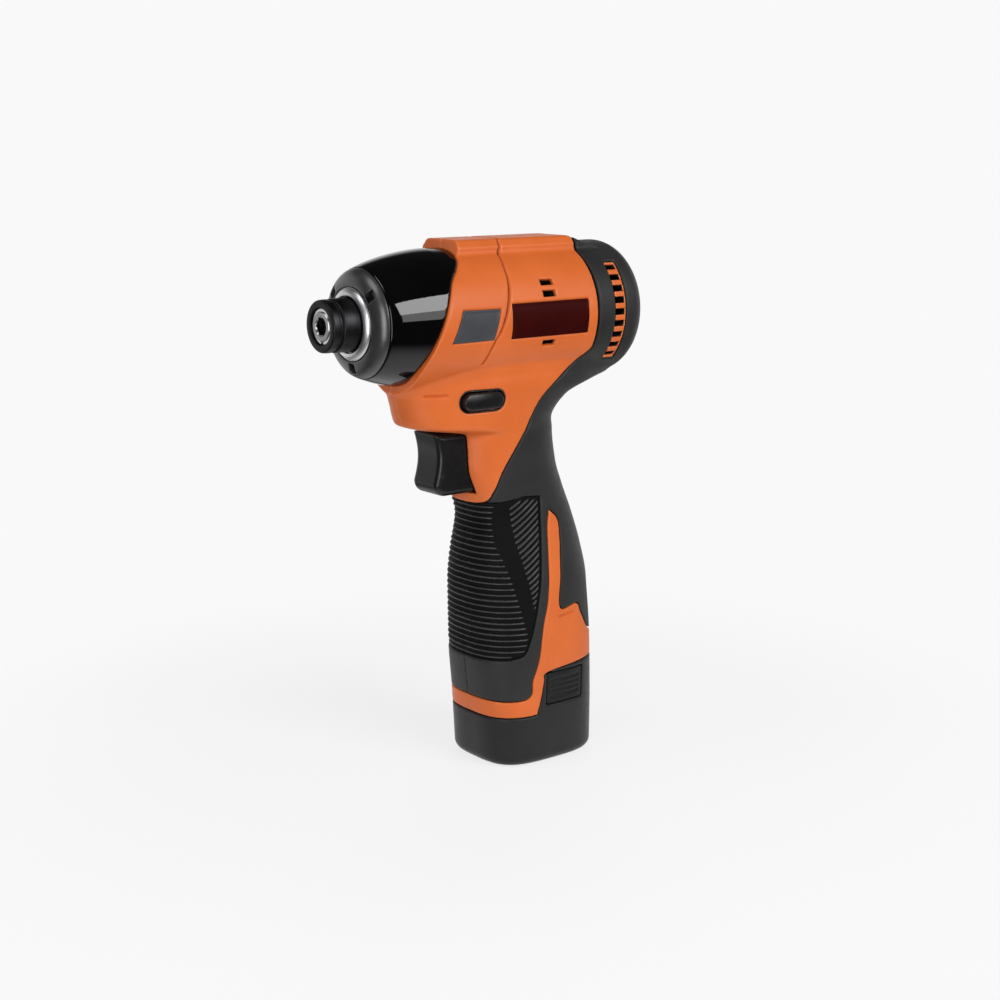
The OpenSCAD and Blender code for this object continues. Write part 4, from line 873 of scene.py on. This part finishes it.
# Lines in the side view where the ribs end and the hatch starts, as x, z and slope of x over z
RIB_LINES = [(25.5, 0, 0), (12, 46, 0.28)]
HATCH_LINES = [(13, 70.5, 0.23), (18.6, 94.8, 0.11)]


def rearmost(lines, z):
    """Smallest x of several lines at height z."""
    return np.minimum.reduce([x + slope * (z - start) for x, start, slope in lines])


def rib_crests(p):
    """Height of the grip's ribs from 0 to 1: level across the front, a slanted hatch on the sides."""
    x, z = p[:, 0], p[:, 2]
    front = np.cos(2 * math.pi * z / RIB_PITCH) * ramp(x - rearmost(RIB_LINES, z), *RIB_END)
    turned = (z + HATCH_SLOPE * x) / math.hypot(1, HATCH_SLOPE)
    hatch = (np.cos(2 * math.pi * turned / HATCH_PITCH) + HATCH_LIFT) / (1 + HATCH_LIFT)
    hatch = hatch * ramp(rearmost(HATCH_LINES, z) - x, *HATCH_END)
    return np.maximum(np.maximum(front, 0) ** RIB_POWER, np.maximum(hatch, 0) ** HATCH_POWER)


def grip_ribs(side):
    """Ribs of the grip, whose feet are hidden in the bed."""
    def field(p):
        out = body(p) + RIB_DEPTH * (1 - rib_crests(p) * ramp(-RIB_ZONE(p), *RIB_FADE))
        d = np.maximum(out, RIB_ZONE(p) + RIB_INSET)
        return skin(np.maximum(d, half_cut(p, side)), out, RIB_T)
    return field


def inlay(zone, inset, depth, thick, edge=0, cut=None, cut_edge=0):
    """Maker of a side's sunk skin inside a zone, less what a cut takes away."""
    def made(side):
        def field(p):
            out = body(p) + depth
            d = round_max(out, zone(p) + inset, edge)
            if cut:
                d = round_max(d, -cut(p), cut_edge)
            return skin(np.maximum(d, half_cut(p, side)), out, thick)
        return field
    return made


SHADE_GRID_GAP = 0.05
# Rubber between the ribs, near black as painted shade in the grooves; orange bars of the rear vent; a black
# grid behind them as painted shade in the slots; and the selector's frame
grip_shaded_bed = inlay(RIB_ZONE, inset=0.2, depth=0.5, thick=0.9)
vent_bars = inlay(vent_window, inset=0.1, depth=0.35, thick=1.0, edge=0.3, cut=vent_slots, cut_edge=0.3)
# Black grid behind the vent bars: painted shade on the walls of the slots
vent_shade_grid = inlay(vent_window, inset=SHADE_GRID_GAP, depth=1.4, thick=1.9,
                   cut=lambda p: vent_slots(p) + SHADE_GRID_GAP)
selector_bezel = inlay(pill_field, inset=-BEZEL_W, depth=0.1, thick=3.0, edge=0.35,
                       cut=lambda p: pill_field(p, PASS_GAP), cut_edge=0.6)

PLATE_DEPTH = 0.28
PLATE_FRAME = 0.16
PLATE_FRAME_EDGE = (-1.1, -0.7)
PLATE_INSET = 0.12
PLATE_ROUND = 0.25
PLATE_T = 1.2
SIDE_START = 5.0


def plate_field(zone):
    """Bare plate let into a pocket of the left side, with a raised frame round it."""
    def field(p):
        out = body(p) + PLATE_DEPTH - PLATE_FRAME * ramp(zone(p), *PLATE_FRAME_EDGE)
        d = round_max(out, zone(p) + PLATE_INSET, PLATE_ROUND)
        return skin(np.maximum(d, half_cut(p, 1, SIDE_START)), out, PLATE_T)
    return field


# Nose and lamps

NOSE_INSET = 0.25
NOSE_GAP = 0.35
NOSE_T = 2.0
COLLAR_INSET = 0.2
LAMP_ANGLES = [math.radians(a) for a in (42, 138, 270)]
LAMP_TILT = math.radians(38)
LAMP_PLACE = (82.4, 16.6)
LAMP_WINDOW = 3.9
LAMP_ROUND = 0.6
LAMP_EDGE = 0.25
LAMP_GAP = 0.1
WELL_DEPTH = 1.2
WINDOW_DEPTH = (0.5, 2.0)


def nose_field(p, step=0.2):
    """Nose cover: a tapered shell whose rear edge follows the shells."""
    x = p[:, 0]
    slope = (nose_r(x + step) - nose_r(x - step)) / (2 * step)
    out = (axis_r(p) - nose_r(x) + NOSE_INSET) / np.sqrt(1 + slope * slope)
    d = trimmed(out, (NOSE_ZONE(p) + NOSE_GAP, 0.5), (x - X_COLLAR + NOSE_INSET, 0.4))
    return skin(d, out, NOSE_T)


def lamp_wells(p, depth, grow=0.0):
    """Square wells for the lamps, square to the collar's rounded corner."""
    found = []
    for a in LAMP_ANGLES:
        y, z = p[:, 1], p[:, 2] - AXIS_H
        x, out = p[:, 0] - LAMP_PLACE[0], y * math.cos(a) + z * math.sin(a) - LAMP_PLACE[1]
        up = np.abs(out * math.cos(LAMP_TILT) - x * math.sin(LAMP_TILT))
        across = np.abs(z * math.cos(a) - y * math.sin(a))
        sunk = x * math.cos(LAMP_TILT) + out * math.sin(LAMP_TILT) + depth
        half = LAMP_WINDOW / 2 + grow
        found.append(np.maximum(round_max(up - half, across - half, LAMP_ROUND), -sunk))
    return np.minimum.reduce(found)


def lamp_field(p):
    """Smoked windows of the lamps, sunk in their wells."""
    above = lamp_wells(p, WINDOW_DEPTH[0], grow=1.0)
    return round_max(lamp_wells(p, WINDOW_DEPTH[1], -LAMP_GAP), -above, LAMP_EDGE)


def collar_field(p):
    """Ring at the nose's front, with a well for each lamp."""
    x, r = p[:, 0], axis_r(p)
    out = r - nose_r(np.minimum(x, X_NOSE)) + COLLAR_INSET
    return trimmed(out, (x - X_NOSE, 3.2), (BOSS_R + NOSE_INSET - r, 0.5), (X_COLLAR - x, 0.35),
                   (-lamp_wells(p, WELL_DEPTH), LAMP_EDGE))


# Controls, battery and screws

TRIGGER_DISH = 1.9
TRIGGER_DISH_SHARE = 0.8
TRIGGER_SKIRT = 4.0
# Half width, floor and headroom of the hollow inside the trigger's skirt
TRIGGER_ROOM = (7.0, 1.6, 9.0)
SELECTOR_CROWN = (0.9, 0.7)
SELECTOR_ROUND = 0.7


def trigger_field(p):
    """Trigger with a dished front and a round foot."""
    z0, z1 = TRIGGER_Z
    t = np.clip((z1 - p[:, 2]) / (z1 - z0), 0, 1)
    front = TRIGGER_X[1] - TRIGGER_DISH * np.sin(math.pi * np.clip(t / TRIGGER_DISH_SHARE, 0, 1))
    flank = np.abs(p[:, 1]) - TRIGGER_W / 2
    d = trimmed(p[:, 0] - front, (z0 - p[:, 2], 5), (p[:, 2] - z1, 0.5), (flank, 2.6))
    d = np.maximum(d, TRIGGER_X[0] - TRIGGER_SKIRT - p[:, 0])
    half, floor, head = TRIGGER_ROOM
    return np.maximum(d, -box_field(p, [0, -half, z0 + floor], [TRIGGER_X[0], half, z1 + head]))


def selector_field(p):
    """Push button right through the tool, with crowned ends."""
    along = (p[:, 0] - SELECTOR[0]) / (SELECTOR_SIZE[0] / 2)
    across = (p[:, 2] - SELECTOR[1]) / (SELECTOR_SIZE[1] / 2)
    crown = SELECTOR_CROWN[0] * along ** 2 + SELECTOR_CROWN[1] * across ** 2
    return round_max(pill_field(p), np.abs(p[:, 1]) - SELECTOR_REACH + crown, SELECTOR_ROUND)


LATCH_X = (-13.63, 5.8)
LATCH_Z = (25.4, 38.7)
LATCH_CORNER = 1.2
LATCH_DEPTH = 0.3
LATCH_RIB_PITCH = 2.2
LATCH_RIB_DEPTH = 0.5
LATCH_RIB_EDGE = (1.6, 2.6)
LATCH_ROUND = 0.5
LATCH_T = 2.0
WELL_Y = 15.2
WELL_ROUND = 0.45
FOOT_GAP = 0.4
FOOT_RIM_ROUND = 0.6
FOOT_T = 3.4


def latch_window(p, grow=0.0):
    """Rounded outline of a latch in the side view."""
    return round_max(span(p[:, 0], LATCH_X) - grow, span(p[:, 2], LATCH_Z) - grow, LATCH_CORNER)


def battery_field(p):
    """Foot of the battery up to the shells' rim, with a well for each latch."""
    out = round_max(grip(p), -p[:, 2], FOOT_ROUND)
    d = round_max(out, RIM_ZONE(p) + FOOT_GAP, FOOT_RIM_ROUND)
    well = round_max(latch_window(p, PASS_GAP), WELL_Y - np.abs(p[:, 1]), LATCH_ROUND)
    return skin(round_max(d, -well, WELL_ROUND), out, FOOT_T)


def latch_field(side):
    """Release latch with level grip ribs."""
    def field(p):
        rib = 0.5 - 0.5 * np.cos(2 * math.pi * (p[:, 2] - LATCH_Z[0]) / LATCH_RIB_PITCH)
        out = grip(p) + LATCH_DEPTH + LATCH_RIB_DEPTH * rib * ramp(-latch_window(p), *LATCH_RIB_EDGE)
        d = skin(round_max(out, latch_window(p), LATCH_ROUND), out, LATCH_T)
        return np.maximum(d, half_cut(p, side, SIDE_START))
    return field


SCREW_HEAD_ROUND = 0.8
SCREW_EDGE = 0.15
SCREW_TIP_ROUND = 0.5
DRIVE_R, DRIVE_LOBE, DRIVE_LOBES = 1.3, 0.24, 6
DRIVE_FLOOR = 0.9
DRIVE_EDGE = 0.12


def screw_field(p):
    """Pan head screw along Y with a six-lobed drive, seated at the origin."""
    x, y, z = p.T
    r = np.hypot(x, z)
    head = round_max(round_max(r - SCREW_HEAD_R, -y - SCREW_HEAD_T, SCREW_HEAD_ROUND), y, SCREW_EDGE)
    drive = r - DRIVE_R - DRIVE_LOBE * np.cos(DRIVE_LOBES * np.arctan2(z, x))
    head = round_max(head, -np.maximum(drive, y + DRIVE_FLOOR), DRIVE_EDGE)
    shank = round_max(r - SCREW_R, y - SCREW_L, SCREW_TIP_ROUND)
    return np.minimum(head, np.maximum(shank, -y - SCREW_TIP_ROUND))


# Moulded pieces

SHELL_BOX = [-46, -30, 18], [76, 30, 219]
GRIP_BOX = [2, -26, 42], [42, 26, 115]
VENT_BOX = [-35, -30, 155], [-20, 30, 215]
BEZEL_BOX = [22, -23, 147], [47, 23, 161]
LATCH_BOX = [-16, -27, 22], [8, 27, 42]
# Name, field, box, cell, material, replaced node and slot; names and nodes follow the word left or right
SIDE_PIECES = [
    ("orange_fields", orange_skin, SHELL_BOX, 0.5, ORANGE, "housing", "orange_plastic"),
    ("shell_core", shell_core, SHELL_BOX, 1.0, PLASTIC, "housing", "black_plastic"),
    ("rubber", rubber_skin, SHELL_BOX, 0.58, RUBBER, "grip", "black_rubber"),
    # The bed between the ribs is near black as painted shade in the grooves
    ("grip_shaded_bed", grip_shaded_bed, GRIP_BOX, 0.6, GROOVE_SHADE, "grip", "black_rubber"),
    # The ribs' rubber is paler than the grip's as a painted highlight on the crests
    ("grip_ribs", grip_ribs, GRIP_BOX, 0.35, RIB_HIGHLIGHT, "grip", "black_rubber"),
    ("vent_bars", vent_bars, VENT_BOX, 0.4, ORANGE, "housing", "orange_plastic"),
    # The vent's grid is black as painted shade in the slots
    ("vent_shade_grid", vent_shade_grid, VENT_BOX, 0.5, PLASTIC, "housing", "black_plastic"),
    ("selector_bezel", selector_bezel, BEZEL_BOX, 0.4, SATIN, "housing", "black_plastic"),
    ("latch_button", latch_field, LATCH_BOX, 0.4, PLASTIC, "latch", "black_plastic"),
]
# Name, field, box's corners, cell, material, body, replaced nodes and slot
MIDDLE_PIECES = [
    ("nose_shell", nose_field, [38, -29, 154], [81, 29, 217], 0.5, GLOSS,
     "housing", ["nose_cover"], "gloss_black"),
    ("lamp_collar", collar_field, [78, -22, 163], [85, 22, 207], 0.33, COLLAR,
     "housing", ["nose_collar"], "gloss_black"),
    ("lamp_windows", lamp_field, [79, -19.5, 164], [84, 19.5, 206], 0.25, SMOKED,
     "housing", ["lamp_lenses"], "lens"),
    ("trigger_blade", trigger_field, [28, -10, 114], [52, 10, 142], 0.4, SATIN,
     "trigger", ["trigger"], "black_plastic"),
    ("selector_button", selector_field, [24, -22, 149], [46, 22, 158.5], 0.4, SATIN,
     "selector", ["selector"], "black_plastic"),
    ("battery_foot", battery_field, [-30, -26, -1], [34, 26, 46], 0.65, BATTERY,
     "battery", ["battery_base"], "black_plastic"),
    ("label_plate", plate_field(LABEL_ZONE), [-14, 15, 175], [29, 29, 194], 0.35, LABEL,
     "housing", (), "black_plastic"),
    ("badge_plate", plate_field(BADGE_ZONE), [30, 12, 175], [57, 29, 193], 0.35, BADGE,
     "housing", (), "black_plastic"),
]


def side_box(low, high, side):
    """Box cut to a little past the middle plane, on one side of it."""
    low, high = list(low), list(high)
    if side > 0:
        low[1] = -1
    else:
        high[1] = 1
    return low, high


for word, side in (("left_", 1), ("right_", -1)):
    for name, made, box, cell, material, node, slot in SIDE_PIECES:
        low, high = side_box(*box, side)
        body_name = word + node if node == "latch" else "housing"
        field_piece(word + name, made(side), low, high, cell, material, body_name, [word + node], slot)
for row in MIDDLE_PIECES:
    field_piece(*row)

SCREW_BOX = [-3.2, -2.6, -3.2], [3.2, SCREW_L + 0.6, 3.2]
screw_points, screw_faces = surface_net(screw_field, *SCREW_BOX, cell=0.22)
for number, (x, z) in enumerate(SCREW_PLACES, 1):
    mesh_piece("housing_screw_%d" % number, screw_points + [x, -SCREW_SEAT, z], screw_faces, ZINC,
               "housing", ["housing_screws"], "blackened_steel")

# Turned pieces at the nose, as outlines of (x, r, radius of the corner)

SLEEVE = rounded([
    [79.8, 7.4, 0.1], [82, 7.4, 0.1], [82, 5.8, 0.1], [85.5, 5.8, 0.1], [85.5, 7, 0.1], [96.8, 7, 0.35],
    [96.8, 9.9, 0.8], [93.6, 10.1, 0.6], [93.4, 9, 0.3], [92.5, 9, 0.3], [92, 10.2, 0.6], [79.8, 10.2, 0.6],
])
mesh_piece("sleeve_ring", *lathed(SLEEVE), OXIDE, "sleeve", ["collet_sleeve"], "blackened_steel")
BOSS_RING = rounded([
    [82.6, 10.75, 0.1], [85.1, 10.75, 0.5], [85, 11.9, 1.2], [83.9, 13.5, 1], [82.6, 13.85, 0.1],
])
mesh_piece("boss_ring", *lathed(BOSS_RING), SILVER, "housing", (), "cast_aluminium")

# Springs, coiled to fill the boxes of their CAD parts

COIL_RINGS = 36
COIL_SIDES = 8
COIL_CAP = np.array([[0, 1, 2, 3], [0, 3, 4, 7], [4, 5, 6, 7]])
LATCH_SPRING_Y = 15.3
# Piece, CAD node, body, joint, axis, wire radius, turns, travel and the end that stays: 0 low, 1 high
SPRINGS = [
    ("hammer_coil", "hammer_spring", "spindle", "hammer_slide", 0, 1.2, 5, 6.0, 0),
    ("sleeve_coil", "sleeve_spring", "anvil", "sleeve_pull", 0, 0.4, 4, 4.0, 1),
    ("trigger_coil", "trigger_spring", "housing", "trigger_pull", 0, 0.45, 4, 6.0, 0),
    ("left_latch_coil", "latch_springs", "battery", "left_latch_press", 1, 0.35, 3, 1.5, 0),
    ("right_latch_coil", "latch_springs", "battery", "right_latch_press", 1, 0.35, 3, 1.5, 1),
]


def coil(low, high, axis, wire_r, turns):
    """Vertices and quads of a helix of round wire that fills a box along one axis."""
    rings, sides = COIL_RINGS * turns, COIL_SIDES
    middle, reach = (low + high) / 2, (high - low) / 2
    step = np.arange(rings + 1)[:, None] / rings
    side = np.arange(sides)[None] * 2 * math.pi / sides
    r = reach[axis - 1] - wire_r + wire_r * np.cos(side)
    points = np.empty((rings + 1, sides, 3))
    points[..., axis] = low[axis] + wire_r * (1 + np.sin(side)) + 2 * (reach[axis] - wire_r) * step
    points[..., axis - 2] = middle[axis - 2] + r * np.cos(2 * math.pi * turns * step)
    points[..., axis - 1] = middle[axis - 1] + r * np.sin(2 * math.pi * turns * step)
    i, j = np.meshgrid(np.arange(rings), np.arange(sides), indexing="ij")
    here, after = i * sides, (i + 1) * sides
    k = (j + 1) % sides
    walls = np.stack([here + j, after + j, after + k, here + k], -1).reshape(-1, 4)
    return points.reshape(-1, 3), np.vstack([walls, COIL_CAP, COIL_CAP[:, ::-1] + rings * sides])


for name, node, body_name, joint, axis, wire_r, turns, travel, end in SPRINGS:
    low, high = (np.array(corner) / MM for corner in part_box(node))
    if name == "left_latch_coil":
        low[1] = LATCH_SPRING_Y
    elif name == "right_latch_coil":
        high[1] = -LATCH_SPRING_Y
    piece = mesh_piece(name, *coil(low, high, axis, wire_r, turns), BRIGHT, body_name, [node], "bright_steel")
    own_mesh(piece)

# Camera at the photograph's viewing angle, in metres

TARGET = Vector((0.012, 0, 0.1084))
AZIMUTH, ELEVATION = math.radians(142), math.radians(12)
DISTANCE = 0.708
SENSOR = 36.0
FOCAL_SHARE = 1.727
flat = math.cos(ELEVATION)
back = Vector((math.sin(AZIMUTH) * flat, -math.cos(AZIMUTH) * flat, math.sin(ELEVATION)))
camera = placed("camera", bpy.data.cameras.new("camera"))
camera.location = TARGET + back * DISTANCE
camera.rotation_euler = back.to_track_quat("Z", "Y").to_euler()
camera.data.sensor_width = SENSOR
camera.data.lens = SENSOR * FOCAL_SHARE
camera.data.clip_start = 0.01
bpy.context.scene.camera = camera

# Floor and world

WHITE = 0.947
FILL = 0.24
DIM = 0.03
FLOOR_R = 0.32
FLOOR_TURNS = 96
FLOOR_Z = -0.0002
# Distances between which the floor's shadow fades, and how much it reflects and veils close to the tool
FLOOR_FADE = (0.1, 0.3)
FLOOR_SHADE = 0.17
FLOOR_VEIL = 0.195
FLOOR_BOUNCE = (0.85, 0.85, 0.85, 1)
# Directions where the wall that gloss sees starts and is full: away from the camera, and downwards
WALL_AWAY = (0.05, 0.4)
WALL_DOWN = (-0.55, -0.25)
SMOOTH = "SMOOTHSTEP"


class Stage(Nodes):
    """Nodes of the floor or the world, which can ask what kind of ray sees them."""

    def __init__(self, owner):
        super().__init__(owner)
        self.tree.nodes.clear()
        self.path = self.add("ShaderNodeLightPath").outputs

    def math(self, operation, *values):
        node = self.add("ShaderNodeMath", operation)
        for socket, value in zip(node.inputs, values):
            if isinstance(value, (int, float)):
                socket.default_value = value
            else:
                self.link(value, socket)
        return node.outputs[0]

    def joined(self, kind, *sources):
        """Shader from a new node, with its first sockets linked in order."""
        node = self.add(kind)
        for source, socket in zip(sources, node.inputs):
            self.link(source, socket)
        return node.outputs[0]

    def mirrored(self):
        """1 for what gloss and glass see, 0 otherwise."""
        return self.math("MAXIMUM", self.path["Is Glossy Ray"], self.path["Is Transmission Ray"])


def floor_material():
    """Pale floor: to the eye a soft shadow on white, through which the battery shows when it slides out."""
    material = bpy.data.materials.new("floor")
    stage = Stage(material)
    link = stage.link
    away = stage.add("ShaderNodeVectorMath", "LENGTH")
    link(stage.add("ShaderNodeTexCoord").outputs["Object"], away.inputs[0])
    near = stage.math("SUBTRACT", 1.0, stage.spread(away.outputs["Value"], *FLOOR_FADE, kind=SMOOTH))
    shade = stage.joined("ShaderNodeBsdfDiffuse", stage.math("MULTIPLY", near, FLOOR_SHADE))
    clear = stage.joined("ShaderNodeBsdfTransparent", stage.math("MULTIPLY_ADD", near, -FLOOR_VEIL, 1.0))
    seen = stage.joined("ShaderNodeAddShader", shade, clear)
    bounce = stage.add("ShaderNodeBsdfDiffuse", Color=FLOOR_BOUNCE).outputs[0]
    pool = stage.add("ShaderNodeEmission")
    link(stage.math("MULTIPLY_ADD", near, WHITE - DIM, DIM), pool.inputs["Strength"])
    mirrored = stage.joined("ShaderNodeMixShader", stage.mirrored(), bounce, pool.outputs[0])
    mix = stage.joined("ShaderNodeMixShader", stage.path["Is Camera Ray"], mirrored, seen)
    link(mix, stage.add("ShaderNodeOutputMaterial").inputs["Surface"])
    return material


def floor_disc():
    """Round floor under the tool."""
    angles = np.arange(FLOOR_TURNS) * 2 * math.pi / FLOOR_TURNS
    points = [(FLOOR_R * math.cos(a), FLOOR_R * math.sin(a), FLOOR_Z) for a in angles]
    mesh = bpy.data.meshes.new("floor")
    mesh.from_pydata(points, [], [list(range(FLOOR_TURNS))])
    floor = placed("floor", mesh)
    floor.data.materials.append(floor_material())


def studio_world():
    """White backdrop to the eye; gloss sees it on the far side, and a dim studio on the camera's side."""
    world = bpy.data.worlds.new("studio")
    bpy.context.scene.world = world
    stage = Stage(world)
    link = stage.link
    ray = stage.add("ShaderNodeTexCoord").outputs["Generated"]

    def along(direction, low, high):
        facing = stage.add("ShaderNodeVectorMath", "DOT_PRODUCT")
        link(ray, facing.inputs[0])
        facing.inputs[1].default_value = direction
        return stage.spread(facing.outputs["Value"], low, high, kind=SMOOTH)

    wall = stage.math("MULTIPLY", along((-back.x, -back.y, 0), *WALL_AWAY), along((0, 0, -1), *WALL_DOWN))
    far = stage.math("MULTIPLY_ADD", wall, WHITE - DIM, DIM)
    camera_ray, gloss = stage.path["Is Camera Ray"], stage.mirrored()
    light = stage.math("MULTIPLY_ADD", gloss, stage.math("SUBTRACT", far, FILL), FILL)
    light = stage.math("MULTIPLY_ADD", camera_ray, stage.math("SUBTRACT", WHITE, light), light)
    sky = stage.add("ShaderNodeBackground", Color=(1, 1, 1, 1))
    link(light, sky.inputs["Strength"])
    link(sky.outputs[0], stage.add("ShaderNodeOutputWorld").inputs["Surface"])


floor_disc()
studio_world()

# Lights

MIDDLE = Vector((0.02, 0, 0.15))
# Name, place, width and height in metres, and radiance, which is 1 where it would show as white
SOFT_BOXES = [
    ("key_box", (-0.18, 0.87, 0.66), (0.72, 0.4), 7.8),
    ("low_box", (-0.22, 1.02, 0.38), (0.72, 0.24), 2.6),
    ("front_box", (0.95, 0.58, 0.2), (0.5, 0.9), 4.2),
    ("top_box", (0.8, -0.1, 1.15), (0.6, 0.6), 3),
    ("rear_box", (-0.75, -0.8, 0.6), (0.7, 0.6), 3),
]
for name, place, size, radiance in SOFT_BOXES:
    data = bpy.data.lights.new(name, "AREA")
    data.shape = "RECTANGLE"
    data.size, data.size_y = size
    data.energy = radiance * math.pi * size[0] * size[1]
    lamp = placed(name, data)
    lamp.location = place
    lamp.rotation_euler = (lamp.location - MIDDLE).to_track_quat("Z", "Y").to_euler()
    # The rear box only fills the far side; in gloss it would show as a white edge on the black nose
    lamp.visible_glossy = name != "rear_box"

bpy.context.scene.view_settings.view_transform = "Standard"
